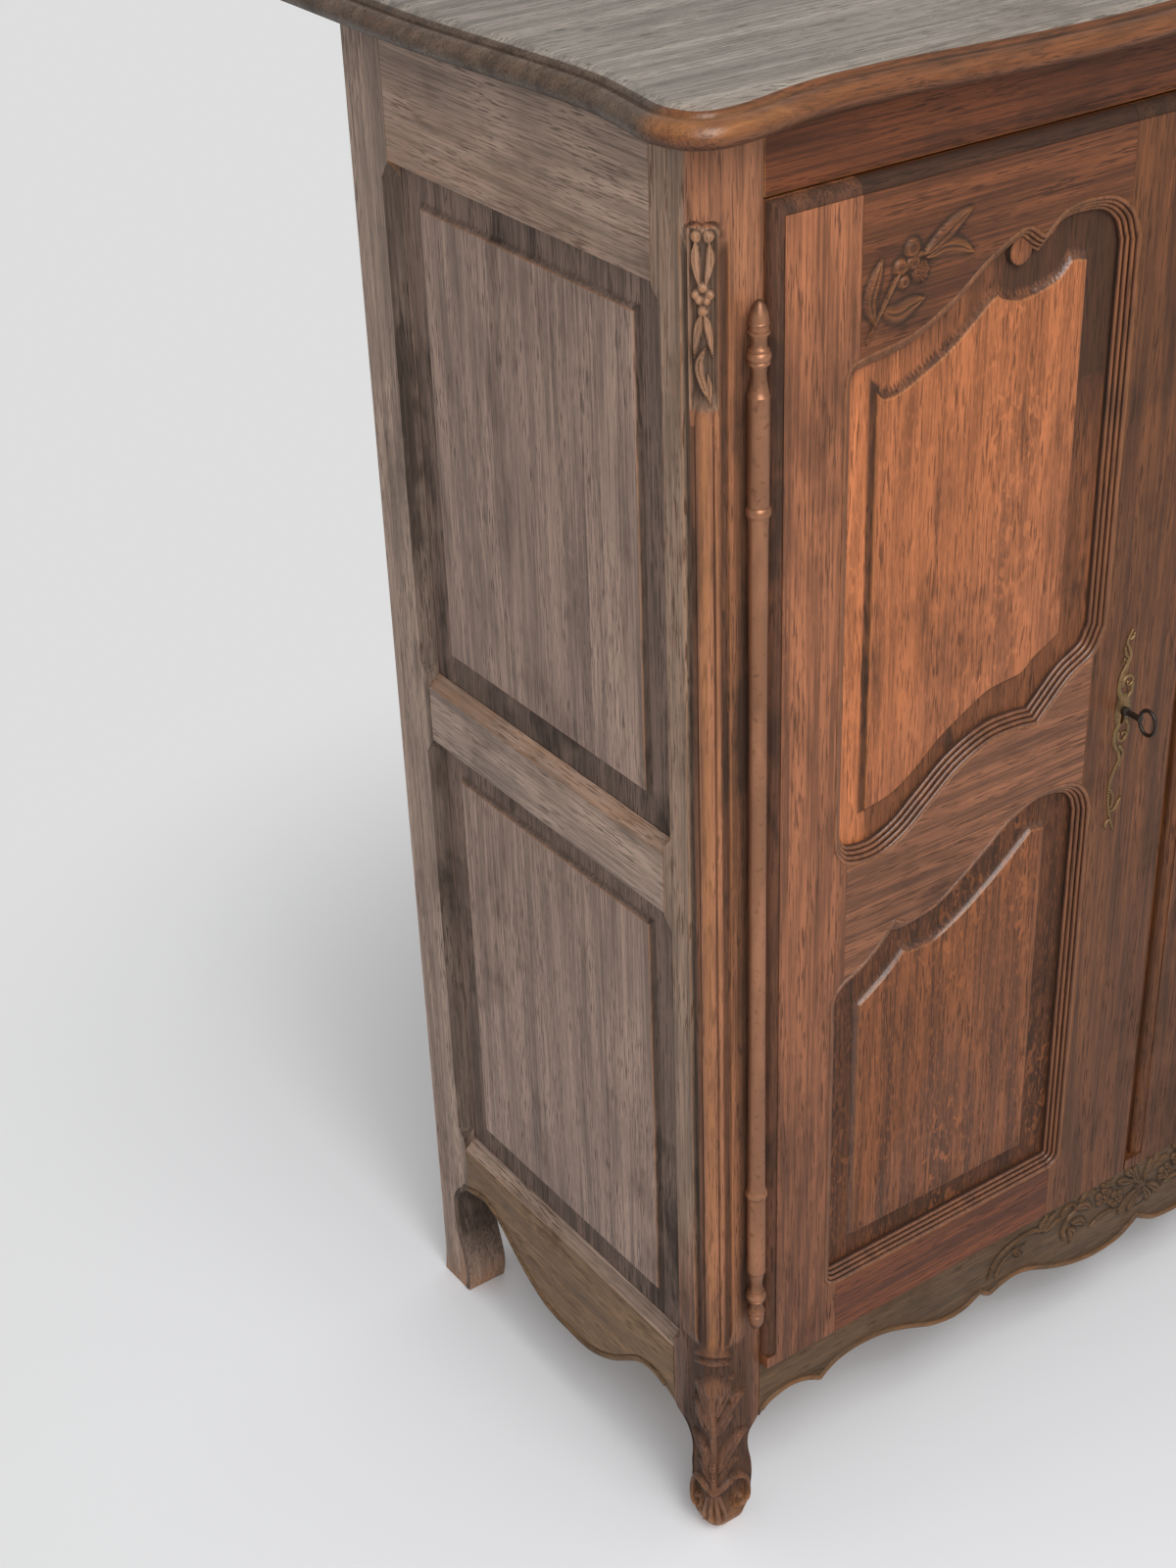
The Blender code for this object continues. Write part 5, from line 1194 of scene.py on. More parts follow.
def post_section(z, foot):
    """Points of the left front post at a height, with their worn, deep and field values."""
    share = z / KNEE_H
    row = [np.interp(share, foot[:, 0], foot[:, k]) for k in range(1, 5)] if share < 1 else [1, 1, 0, 1]
    w, d = row[0] * POST_W, row[1] * POST_D
    swell, radius = row[2] * KNEE_SWELL, row[3] * CORNER_R
    quirk = QUIRK * np.interp(z, (COLUMN_FOOT - 6, COLUMN_FOOT + 6, *QUIRK_END), (0, 1, 1, 0))
    column = np.interp(z, (COLUMN_FOOT - 2, COLUMN_FOOT + 10, DROP_Z, DROP_Z + 22), (0, 1, 1, 0))
    flat = -min(swell, 0)
    reach, k = radius - swell, radius / CORNER_R
    c = POST_ARRIS
    for low, high in POST_CHAMFERS:
        into = np.clip(min(z - low, high - z) / CHAMFER_STOP, 0, 1)
        c = max(c, CHAMFER * into * into * (3 - 2 * into))
    arc = np.radians(np.linspace(180, 270, ARC_POINTS))
    turn = np.degrees(arc) - 225
    groove = np.exp(-((np.abs(turn) - BEAD_ANGLE) / 2.6) ** 2) * BEAD_GROOVE * column
    r = radius - groove + 0.7 * column * np.clip(1 - (turn / 26) ** 2, 0, 1)
    q, lip_end = quirk - swell, reach + 9 * k
    lip = [(flat, lip_end), (flat + 0.25 * (q - flat), reach + 8.7 * k), (q, reach + 7.4 * k),
           (q, reach + 4.0 * k), (0.55 * q - 0.45 * swell, reach + 1.4 * k)]
    side = [(w, d), (flat + c, d), (flat, d - c)]
    side += [(flat, y) for y in np.linspace(d - c, lip_end, FLAT_POINTS)[1:-1]]
    tail = [(u, flat) for u in np.linspace(lip_end, w - 0.6, FLAT_POINTS)[1:]] + [(w, flat + 0.6)]
    plan = np.vstack((side + lip, np.c_[reach + r * np.cos(arc), reach + r * np.sin(arc)],
                      [(y, u) for u, y in reversed(lip)], tail))
    first = len(side + lip)
    after = first + ARC_POINTS
    bead, back = slice(first, after), slice(0, len(side))
    length_along = np.r_[0, np.cumsum(np.linalg.norm(np.diff(plan, axis=0), axis=1))]
    s = length_along - length_along[first + ARC_POINTS // 2]
    tangent = np.gradient(plan, axis=0)
    normal = np.c_[tangent[:, 1], -tangent[:, 0]]
    normal /= np.linalg.norm(normal, axis=1)[:, None]
    normal *= np.where(np.sum(normal * (plan - (w, d)), 1) < 0, -1, 1)[:, None]
    height, deep, worn = np.zeros((3, len(plan)))
    deep[first - 3:first - 1] = deep[after + 1:after + 3] = 0.9 * quirk / QUIRK
    deep[bead] = np.maximum(groove / BEAD_GROOVE * 0.8, 0.75 * column * (turn < -24))
    worn[bead] = (0.55 * np.clip(1 - (turn / 20) ** 2, 0, 1)
                  + 0.5 * np.exp(-((turn - 36) / 4) ** 2)) * (0.3 + 0.7 * column)
    worn[1:3] = 0.5
    worn[len(side)] = worn[after + len(lip) - 1] = 0.8
    # Painted shadow of the hinge barrel on the post's face, with some grime, through the deep mark.
    behind_hinge = np.interp(z, HINGE_SHADE_Z, (0, 0.9, 0.9, 0))
    shadow = behind_hinge * np.exp(-((plan[-len(tail):, 0] - 37) / 8.0) ** 2)
    deep[-len(tail):] = np.maximum(deep[-len(tail):], shadow)
    deep[back] = np.maximum(deep[back], np.interp(z, (240, 290, 400), (0, 0.35, 0)))
    field = np.maximum(np.clip((s + 17.0) / 4.0, 0, 1), np.interp(z, (290, 400), (0.85, 0)))
    level, on_drop = np.full(len(s), z), np.abs(s) < 12.4
    if z < COLUMN_FOOT + 6:
        height, hollow = knee_relief(s, level)
        above = np.interp(z, (COLUMN_FOOT - 6, COLUMN_FOOT + 6), (0, 1))
        deep = np.maximum(deep * above, hollow)
        worn = (worn * above + np.clip(height / 3.4 - 0.6, 0, 1) * 0.3
                + np.interp(z, (12, 56), (0.95, 0)) * (np.abs(s) < 40))
    elif z > DROP_Z - 2:
        height, hollow, proud = drop_relief(s, level)
        deep = np.where(on_drop, hollow, np.maximum(deep, hollow))
        worn = np.where(on_drop & (z > 1160), np.clip(proud / 3.0 - 0.6, 0, 1) * 0.6, worn * (z < 1300))
    if 1160 < z < 1296:
        field = np.where(on_drop, 0.3, field)
    plan = plan + normal * height[:, None]
    return place(plan[:, 0], plan[:, 1], z), {"worn": worn, "deep": deep, "field": field}


def front_post():
    """Left front post: scroll foot, carved knee, beaded column, carved drop and stopped chamfers."""
    foot = smooth(POST_FOOT)
    rings, marks = zip(*[post_section(z, foot) for z in post_heights()])
    return loft(rings, {name: [row[name] for row in marks] for name in ("worn", "deep", "field")})


class CUPBOARD_OT_front_posts(bpy.types.Operator):
    """Carve the two corner posts"""
    bl_idname = "cupboard.front_posts"
    bl_label = "Corner posts"

    def execute(self, context):
        mesh = front_post()
        for side in ("left", "right"):
            node = side + "_front_post"
            piece(node + "_carved", for_side(mesh, side), "post oak", "carcass", [node], 42)
        return {"FINISHED"}


# Sides

def raised_panel(edge, field, lay, level, back, ripple=0.0, polish=0.0, crest=0.0):
    """Panel with a raised field on a hollow bevel; lay turns an outline and a level into points."""
    sign = 1 if back > level else -1
    field = resampled(field)
    lifted = np.clip((inset(field, -BEVEL) - field)[:, 1:] / BEVEL, 0, 1) * (0, crest)
    foot, *steps = [inset(field, -share * BEVEL) + share * lifted for share in (1.0, 0.62, 0.34, 0.14)]
    along = np.r_[0, np.cumsum(np.linalg.norm(np.diff(field, axis=0), axis=1))]
    gouged = ripple * np.sin(along * 2 * math.pi / 4.4) * ((foot - field)[:, 1] > 0.3 * BEVEL)
    rings = [(foot, 0.0, 0), (steps[0], 0.10, 0.6), (steps[1], 0.32, 1), (steps[2], 0.66, 0.8),
             (inset(field, 0.15), 0.96, 0), (inset(field, 0.9), 1.0, 0)]
    n, m = len(edge), len(field)
    verts = [lay(edge, back), lay(edge, level)]
    verts += [lay(ring, level - sign * (rise + share * gouged) * FIELD_RAISE) for ring, rise, share in rings]
    rim, base = np.arange(n), 2 * n
    grid = base + np.arange(len(rings) * m).reshape(len(rings), m)
    faces = [rim.tolist()] + ring_faces(rim, rim + n) + ring_faces(grid[:-1], grid[1:]) + [grid[-1].tolist()]
    flat = [Vector(p) for p in np.vstack((edge, foot))]
    edges = [(i, (i + 1) % n) for i in range(n)] + [(n + i, n + (i + 1) % m) for i in range(m)]
    made = delaunay_2d_cdt(flat, edges, [], 0, 1e-6)
    home = [origin[0] if origin else None for origin in made[3]]
    for tri in made[2]:
        middle = np.mean([tuple(made[0][k]) for k in tri], axis=0)
        if inside(middle, edge) and not inside(middle, foot):
            ids = [home[k] for k in tri]
            if None not in ids and len(set(ids)) == 3:
                faces.append([n + k if k < n else base + k - n for k in ids])
    rows = {"worn": (0, 0, 0, 0, 0, 0.1, 0.7, 0), "deep": (0.5, 0.45, 0.6, 0.75, 0.7, 0.4, 0, 0),
            "field": (1, 0, 0, 0, 0.2, 0.6, 1, 1),
            "polish": (0, 0, 0, 0.4 * polish, polish, polish, 0.5 * polish, 0)}
    counts = (n, n) + (m,) * len(rings)
    marks = {name: np.repeat(row, counts) for name, row in rows.items()}
    return outward(build(np.vstack(verts), faces, marks))


def inside(point, outline):
    """Whether a point lies in a closed outline."""
    a, b = outline, np.roll(outline, -1, 0)
    cross = (a[:, 1] > point[1]) != (b[:, 1] > point[1])
    at = a[:, 0] + (point[1] - a[:, 1]) * (b[:, 0] - a[:, 0]) / np.where(cross, b[:, 1] - a[:, 1], 1)
    return bool(np.sum(cross & (point[0] < at)) % 2)


def rectangle(a0, b0, a1, b1):
    """Closed outline of a rectangle."""
    return np.array(((a0, b0), (a1, b0), (a1, b1), (a0, b1)), float)


SCALLOP = ((0, 0.629), (0.08, 0.6765), (0.167, 0.647), (0.278, 0.510), (0.389, 0.424), (0.5, 0.4145),
           (0.61, 0.433), (0.72, 0.5285), (0.831, 0.674), (0.914, 0.7245), (1, 0.688))


def side_bottom_rail():
    """Bottom rail of the left side with its shaped lower edge and chamfered top edge."""
    y0, y1 = POST_D + FIT, REAR_Y - FIT
    curve = smooth([(y0 + f * (y1 - y0), z * SIDE_LOW_TOP) for f, z in SCALLOP], 8)
    n = len(curve)
    rings, worn, deep, field = [], [], [], []
    for u, drop, lift, rubbed, dirty in (
            (0, CHAMFER + 2.0, 8.6, 0, 0), (0, CHAMFER + 1.6, 8.2, 0, 0.3), (1.1, CHAMFER + 1.2, 7.2, 0, 1),
            (0, CHAMFER + 0.8, 6.2, 0, 0.3), (0, CHAMFER + 0.5, 1.0, 0, 0.2), (0.3, CHAMFER, 0.3, 0.4, 0),
            (1.0, CHAMFER - 0.8, 0, 0.1, 0), (CHAMFER, 0, 0, 0, 0), (SIDE_T - 0.8, 0, 0, 0, 0),
            (SIDE_T, 0.5, 0.8, 0, 0)):
        top = SIDE_LOW_TOP - drop
        rings.append(on_side(np.vstack((curve + (0, lift), (y1, top), (y0, top))), u))
        worn.append(np.r_[np.full(n, 0.3 * rubbed), rubbed, rubbed])
        deep.append(np.r_[np.full(n, dirty), 0, 0])
        field.append(np.r_[np.full(n, 1.0), [float(u < 0.2)] * 2])
    return loft(rings, {"worn": worn, "deep": deep, "field": field}), curve


# Rear foot by height: depth of the plain foot's cut, and how far the scene's front face stands behind it
FOOT_Z = (0, 18, 32, 50, 75, 100, 126, 142, 153)
FOOT_CUT = (20.0, 15.5, 15.0, 16.5, 20.0, 21.0, 19.0, 11.0, 0)
FOOT_HOLLOW = (-4.0, -4.0, -3.5, -0.5, 3.5, 6.0, 6.0, 4.0, 0)


def foot_edge(z):
    """Depth of the rear foot's front edge at a height."""
    return REAR_Y + np.interp(z, FOOT_Z, FOOT_CUT) + np.interp(z, FOOT_Z, FOOT_HOLLOW)


def hollow_foot(mesh):
    """Saw the rear foot to a deeper curve, with a rubbed toe."""
    co = points_of(mesh) * 1000
    z = co[:, 2]
    low = (z < FOOT_Z[-1]) & (co[:, 1] - FRONT_Y < REAR_Y + 32)
    co[:, 1] += np.where(low, np.interp(z, FOOT_Z, FOOT_HOLLOW), 0)
    mesh.vertices.foreach_set("co", (co / 1000).astype(np.float32).ravel())
    mark(mesh, "worn", np.clip(marked(mesh, "worn") + np.interp(z, (0, 40), (0.9, 0)), 0, 1))
    faced = slopes(mesh, lambda n: n.y < -0.6)
    darkening = low * faced * np.interp(z, (20, 70, FOOT_Z[-1]), (0, 1, 1))
    mark(mesh, "deep", np.maximum(marked(mesh, "deep"), darkening))


def side_panel(low, high):
    """Raised panel of the left side between two rails, with painted shade and grime on the bevel at its
    front, and grime along its foot.
    """
    t, m = TONGUE_DEPTH, FIELD_MARGIN
    level = GROOVE_U + FIT
    outer = rectangle(POST_D - t, low - t, REAR_Y + t, high + t)
    field = rectangle(POST_D + m, low + m, REAR_Y - m, high - m)
    mesh = raised_panel(outer, field, on_side, level, level + GROOVE_T - 2 * FIT)
    u, y, z = measures(mesh)
    sunk = level - u
    # Painted shade and grime on the bevel along the front.
    shadow = (sunk > 0.3) & (sunk < 0.9 * FIELD_RAISE) & (y < POST_D + m + 3)
    grimy = 0.8 * ((np.abs(sunk) < 0.3) & (z < low + m + 1))
    mark(mesh, "deep", highest(marked(mesh, "deep"), shadow, grimy))
    return mesh


class CUPBOARD_OT_sides(bpy.types.Operator):
    """Frame the two sides: posts, rails and raised panels"""
    bl_idname = "cupboard.sides"
    bl_label = "Sides"

    def execute(self, context):
        bottom, curve = side_bottom_rail()
        edge = smooth(np.vstack((curve[4:-8:4] + (0, 3.4), (REAR_Y - 0.4, FOOT_BEAD_Z))), 4)
        bead = beads([(on_side(edge, 1.2), False)], sizes().bead_radius * 0.9, "side apron oak")
        mark(bead, "deep", 0.35)
        mark(bead, "field", 1)
        leg = [(foot_edge(z) + 3.0, z) for z in (146, 138, 126, 112, 100, 86, 75, 62, 50, 40, 32, 22, 12, 3)]
        leg = smooth([(REAR_Y + 0.4, FOOT_BEAD_Z), (REAR_Y + 8, 153.2)] + leg, 4)
        line = beads([(on_side(leg, 1.0), False)], sizes().bead_radius * 0.8, "side oak upright")
        mark(line, "deep", 0.9)
        spans = {"upper": (SIDE_MID_Z[1], SIDE_TOP_Z), "lower": (SIDE_LOW_TOP, SIDE_MID_Z[0])}
        for side in ("left", "right"):
            post = softened(side + "_rear_post", "side oak upright", "carcass")
            mark(post.data, "deep", slopes(post.data, lambda n: abs(n.x) > 0.3 and n.y < -0.3) * 0.85)
            hollow_foot(post.data)
            for name in ("top", "middle"):
                rail = softened(f"{side}_side_{name}_rail", "side oak level", "carcass")
                # Upward-facing chamfers of the rails are painted lighter: a painted top light with some wear,
                # through the worn mark.
                bright = slopes(rail.data, lambda n: abs(n.x) > 0.3 and n.z > 0.3) * 0.4
                mark(rail.data, "worn", np.maximum(marked(rail.data, "worn"), bright))
            for name, mesh, finish, nodes in (
                    ("_side_apron", bottom, "side apron oak", [side + "_side_bottom_rail"]),
                    ("_side_apron_bead", bead, "side apron oak", []),
                    ("_rear_foot_bead", line, "side oak upright", [])):
                piece(side + name, for_side(mesh, side), finish, "carcass", nodes)
            for name, span in spans.items():
                node = f"{side}_side_{name}_panel"
                mesh = for_side(side_panel(*span), side)
                piece(node + "_raised", mesh, "side panel oak", "carcass", [node], 30)
        return {"FINISHED"}


# Front rails

APRON = (((0, 0.662), (0.021, 0.715), (0.053, 0.7425), (0.078, 0.7475), (0.112, 0.727), (0.148, 0.674)),
         ((0.148, 0.674), (0.171, 0.72), (0.203, 0.7525), (0.247, 0.7625), (0.306, 0.745), (0.366, 0.6895),
          (0.425, 0.621), (0.479, 0.5885), (0.520, 0.5985), (0.558, 0.6415)),
         ((0.558, 0.6415), (0.572, 0.6135), (0.586, 0.5935)),
         ((0.586, 0.5935), (0.615, 0.621), (0.653, 0.634), (0.693, 0.611), (0.762, 0.53), (0.826, 0.477),
          (0.887, 0.457), (0.945, 0.475), (0.978, 0.515), (1, 0.553)))


def apron_edge():
    """Lower edge of the apron from post to post."""
    clear = HALF - POST_W
    half = []
    for run in APRON:
        points = smooth([(POST_W + f * clear, z * OPEN_Z[0]) for f, z in run], 8)
        half.append(points if not half else points[1:])
    half = np.vstack(half)
    half[0, 0] = POST_W + FIT
    return np.vstack((half, np.c_[BODY_W - half[-2::-1, 0], half[-2::-1, 1]]))


def apron_carving(u, z):
    """Height of the scrolls, leaves and flowers on the middle of the apron."""
    u = np.minimum(u, BODY_W - u)
    forms = []
    scrolls = ((((347, 143), (352, 158), (364, 169), (382, 174), (402, 175), (415, 171)), 4.2, 2.2, "tail"),
               (((358, 141), (364, 153), (378, 161), (396, 163)), 3.0, 1.5, "taper"),
               (((452, 141), (449, 152), (455, 164), (464, 172), (461, 181), (450, 182), (444, 175)),
                4.4, 2.4, "taper"),
               (((488, 136), (500, 141), (516, 143), (530, 138)), 4.0, 2.0, "leaf"))
    for path, width, height, ends in scrolls:
        forms.append(stroke(u, z, path, 1.5 * width, 1.4 * height, ends))
    leaves = ((((412, 169), (420, 178), (424, 188)), 7.0), (((417, 168), (428, 175), (435, 184)), 7.0),
              (((420, 165), (434, 168), (444, 172)), 6.5), (((456, 150), (463, 141), (461, 129)), 8.0),
              (((460, 156), (472, 152), (482, 143)), 8.0), (((466, 172), (478, 170), (489, 161)), 8.5),
              (((470, 180), (482, 184), (493, 181)), 7.5), (((380, 165), (384, 157), (392, 150)), 5.0),
              (((536, 190), (542, 180), (552, 172)), 8.0), (((524, 178), (536, 172), (550, 166)), 8.5),
              (((556, 160), (549, 174), (548, 190)), 8.5), (((545, 128), (550, 140), (558, 152)), 9.0),
              (((530, 132), (540, 143), (554, 154)), 8.5))
    for path, width in leaves:
        forms.append(stroke(u, z, path, 1.35 * width, 3.2, vein=0.45))
    for centre, radius, turn in (((505, 168), 11.5, 12), ((524, 155), 11.0, 40), ((508, 186), 8.5, 60)):
        forms.append(flower(u, z, centre, radius, 3.6, turn))
    middle = (HALF, 146)
    cup = 0.8 * np.maximum(knob(u, z, middle, 6.0, 2.2, 1.6), 0)
    return highest(*forms, knob(u, z, middle, 11.0, 3.2, 1.55) - cup)


class CUPBOARD_OT_front_rails(bpy.types.Operator):
    """Shape the frieze, and the apron with its bead and carving"""
    bl_idname = "cupboard.front_rails"
    bl_label = "Front rails"

    def execute(self, context):
        softened("frieze_rail", "frieze oak", "carcass", 1.2)
        edge = apron_edge()
        ends = ((edge[-1, 0], OPEN_Z[0]), (edge[0, 0], OPEN_Z[0]))
        mesh = slab(np.vstack((edge, ends)), on_front, 0.0, FRONT_T, APRON_SOFT)
        piece("apron_shaped", mesh, "apron oak", "carcass", ["apron_rail"])
        closed = np.vstack((edge, (edge[-1, 0], 400), (edge[0, 0], 400)))
        line = inset(closed, 3.2)[4:len(edge) - 4]
        bead = beads([(on_front(line, 1.4), False)], sizes().bead_radius, "apron oak")
        mark(bead, "worn", np.clip(-measures(bead)[1] / 1.8, 0, 1))
        piece("apron_bead", bead, "apron oak", "carcass", [])
        carved = relief((335, 118), (BODY_W - 335, 197.4), sizes().carving_step * 1000, apron_carving,
                        lambda u, z, h: place(u, -h, z), halo=7.0, rub=0.55)
        piece("apron_carving", carved, "apron oak", "carcass", [], 60)
        return {"FINISHED"}


# Doors

def moulding_cutter(outline):
    """Waste of one panel opening: sloping rebate for the reeds, lip and sight opening."""
    face = DOOR_Y[0]
    levels = ((-0.9, face - 2), (-0.9, face), (0, face + 0.8), (0.5, face + 2.6), (5.0, face + 5.6),
              (9.6, face + 9.6), (13.2, face + 12.2), (MOULD_W, GROOVE_Y + GROOVE_T),
              (MOULD_W, DOOR_Y[1] + 2))
    return loft([on_front(inset(outline, across) if across else outline, y) for across, y in levels])


def reed_paths(outline):
    """Paths of the four reeds that step down to the panel."""
    steps = ((1.7, 1.2), (5.0, 3.9), (8.3, 7.0), (11.5, 10.0))
    return [(on_front(inset(outline, across), DOOR_Y[0] + down + 0.9), True) for across, down in steps]


def edge_round(edge, inward):
    """Quarter-round with a quirk on a door edge: outline of the waste."""
    top = DOOR_Y[0] + EDGE_QUIRK
    a = np.radians(np.linspace(0, 90, 13))
    waste = np.c_[edge + inward * EDGE_R * (1 - np.cos(a)), top + EDGE_R * (1 - np.sin(a))]
    shoulder, above, outer = edge + inward * (EDGE_R + EDGE_QUIRK), DOOR_Y[0] - 2, edge - inward * 2
    return np.vstack((waste, ((shoulder, top), (shoulder, above), (outer, above), (outer, top + EDGE_R))))


def upright_waste(outline, stations):
    """Waste of an upright edge moulding, from heights and the share of its section there."""
    middle = outline.mean(0)
    rings = []
    for z, share in stations:
        p = middle + (outline - middle) * share
        rings.append(place(p[:, 0], p[:, 1], z))
    return loft(rings)


def level_waste(u0, u1):
    """Waste of the quarter-round along the top edge of a door."""
    p = edge_round(DOOR_Z[1], -1)
    return loft([place(u, p[:, 1], p[:, 0]) for u in (u0 - 2, u1 + 2)])


def keyhole(y0, y1):
    """Keyhole waste: round hole with a slot below it."""
    w = KEYHOLE_R * 0.55
    slot = box((KEY_U - w, y0 + 0.1, KEY_Z - KEY_BIT - 1.5), (KEY_U + w, y1 - 0.1, KEY_Z))
    return cut(rod(KEY_U, KEY_Z, ((KEYHOLE_R, y0), (KEYHOLE_R, y1)), 20), adds=[slot])


def frame_marks(mesh, outlines):
    """Grime and painted shade in the rebates, painted shade on the rounded door edges, darkest along the top
    under the frieze, and wear along the arrises of a door frame piece.
    """
    u, y, z = measures(mesh)
    depth = y - DOOR_Y[0]
    outer = KDTree(sum(len(o) for o in outlines))
    for i, p in enumerate(np.vstack(outlines)):
        outer.insert((p[0], p[1], 0), i)
    outer.balance()
    near = np.array([outer.find((a, b, 0))[2] for a, b in zip(u, z)])
    rebate = np.clip((depth - 1.2) / 2.5, 0, 1) * (depth < 14)
    at_top = z > DOOR_Z[1] - EDGE_R - 1.2
    rounded = (depth > 0.5) & (depth < EDGE_R) & ((u < DOOR_U[0] + EDGE_R + 1.2) | at_top)
    mark(mesh, "worn", (near < 0.4) & (depth > 0.3) & (depth < 1.2))
    # Painted shade on the rounded edges, darkest along the top, and grime with painted shade in the rebates.
    mark(mesh, "deep", np.where(near < 20, rebate, rounded * np.where(at_top, 1.0, 0.75)))


def sprig_carving(u, z):
    """Height of the flower sprig on the door's top rail."""
    stem = ((143, 1181), (150, 1194), (158, 1206), (165, 1217), (172, 1228))
    forms = [stroke(u, z, stem, 4.6, 2.8, "tail")]
    leaves = ((((150, 1196), (146, 1213), (151, 1230), (156, 1243)), 14.0, 2.8),
              (((157, 1203), (172, 1198), (186, 1202), (198, 1205)), 16.0, 2.8),
              (((196, 1238), (212, 1246), (228, 1256), (243, 1264)), 15.0, 3.0),
              (((200, 1235), (216, 1239), (232, 1236), (246, 1229)), 14.0, 2.6),
              (((174, 1227), (184, 1236), (197, 1240)), 8.0, 2.6))
    for path, width, height in leaves:
        forms.append(stroke(u, z, path, width, height, vein=0.4))
    petals = (((174, 1233), 7.0), ((185, 1245), 8.0), ((178, 1221), 5.4), ((193, 1226), 8.5),
              ((187, 1234), 6.0))
    for centre, radius in petals:
        hollow = 0.6 * np.maximum(knob(u, z, centre, radius * 0.6, 3.0), 0)
        forms.append(knob(u, z, centre, radius, 3.6) - hollow)
    return highest(*forms)


def scroll_eyes():
    """Round eyes of the two scrolls at the crest of the upper moulding."""
    rims = ((1, 10.2), (0.985, 9.2), (0.93, 8.7), (0.7, 8.5), (0.1, 8.4))
    parts = []
    for u, z, r in ((304, 1214, 11.5), (333, 1226, 6.5)):
        profile = [(r * 1.04, GROOVE_Y + 1)] + [(r * share, DOOR_Y[0] + down) for share, down in rims]
        parts.append(rod(u, z, profile, 40))
    eyes = joined(parts)
    mark(eyes, "worn", 0)
    # Painted shade on the sides of the eyes, deep in the moulding; their faces are darkened less.
    mark(eyes, "deep", np.where(measures(eyes)[1] > DOOR_Y[0] + 9.0, 1.2, 0.55))
    mark(eyes, "field", 1)
    return eyes


def flower_seeds():
    """Seeds that fill the flower of the sprig."""
    count, radius, golden = 26, 6.4, math.pi * (3 - math.sqrt(5))
    i = np.arange(count)
    r, a = radius * np.sqrt((i + 0.5) / count), i * golden
    points = place(194 + r * np.cos(a), DOOR_Y[0] - 2.4 + 0.04 * r * r, 1226 + 1.1 * r * np.sin(a))
    made = bpy.data.node_groups.get("carved seeds") or seed_tree()
    values = {"Radius": sizes().seed_radius, "Seed": 7, "Finish": bpy.data.materials["door top rail oak"]}
    return grown_by(made, build(points, []), values)


def door_frame(outlines, lock):
    """Stiles and rails of the left door, by name."""
    (y0, y1), (z0, z1) = DOOR_Y, DOOR_Z
    left, right = SIGHT_U[0] + FIT, SIGHT_U[1] - FIT
    bodies = {
        "hinge_stile": ((DOOR_U[0], y0, z0), (SIGHT_U[0], y1, z1)),
        "meeting_stile": ((SIGHT_U[1], y0, z0), (DOOR_U[1], y1, z1)),
        "top_rail": ((left, y0, UPPER_SPRING - 30), (right, y1, z1)),
        "middle_rail": ((left, y0, LOWER_SPRING - 36), (right, y1, UPPER_LOW + UPPER_LOW_RISE + 41)),
        "bottom_rail": ((left, y0, z0), (right, y1, LOWER_LOW + 40)),
    }
    made = {}
    for name, (low, high) in bodies.items():
        cuts = [moulding_cutter(outline) for outline in outlines]
        if name in ("hinge_stile", "meeting_stile", "top_rail"):
            cuts.append(level_waste(*DOOR_U))
        if name == "hinge_stile":
            stop = z0 + EDGE_STOP
            stations = ((stop, 0.86), (stop + 2.0, 0.96), (stop + 5.0, 1.0), (z1 + 2, 1.0))
            cuts.append(upright_waste(edge_round(DOOR_U[0], 1), stations))
        if name == "meeting_stile" and lock:
            cuts.append(keyhole(y0 - 2, y1 + 2))
        made[name] = cut(box(low, high), cuts)
        frame_marks(made[name], outlines)
    return made


def door_panel(outline, field, ripple, crest):
    """Shaped panel of the left door in its moulded opening."""
    edge = inset(outline, MOULD_W - TONGUE_DEPTH)
    keep = [0]
    for i in range(1, len(edge)):
        if np.hypot(*(edge[i] - edge[keep[-1]])) > 0.02:
            keep.append(i)
    level = GROOVE_Y + FIT
    return raised_panel(resampled(edge[keep], 5.0), field, on_front, level, level + GROOVE_T - 2 * FIT,
                        ripple, 1.0, crest)


def shaded_grimy_border(panel, field):
    """Old grime and painted shade round the field of an upper panel, darker towards the top right and down
    the right, and its polish at the top right.
    """
    u, y, z = measures(panel)
    # Grime and painted shade on the border, rising towards the top right and down the right side.
    at_top = np.where(z > CREST_Z, np.interp(u, (190, 260, 320), (0.3, 0.9, 1.35)), 0.0)
    at_right = (u > 345) * np.interp(z, (960, 1170), (0.8, 1.3))
    darkening = np.maximum(np.where(z < 900, 0.9, at_top), at_right) * (u >= field[:, 0].min() + 2)
    sunk = GROOVE_Y + FIT - y
    bevel = (sunk > 0.3) & (sunk < 0.8 * FIELD_RAISE)
    mark(panel, "deep", np.where(bevel, 1.0, np.where(sunk < -0.3, 0.5, darkening * (sunk < 0.3))))
    mark(panel, "polish", marked(panel, "polish") * np.where((u > 322) & (z > CREST_Z), 0.9, 0.05))


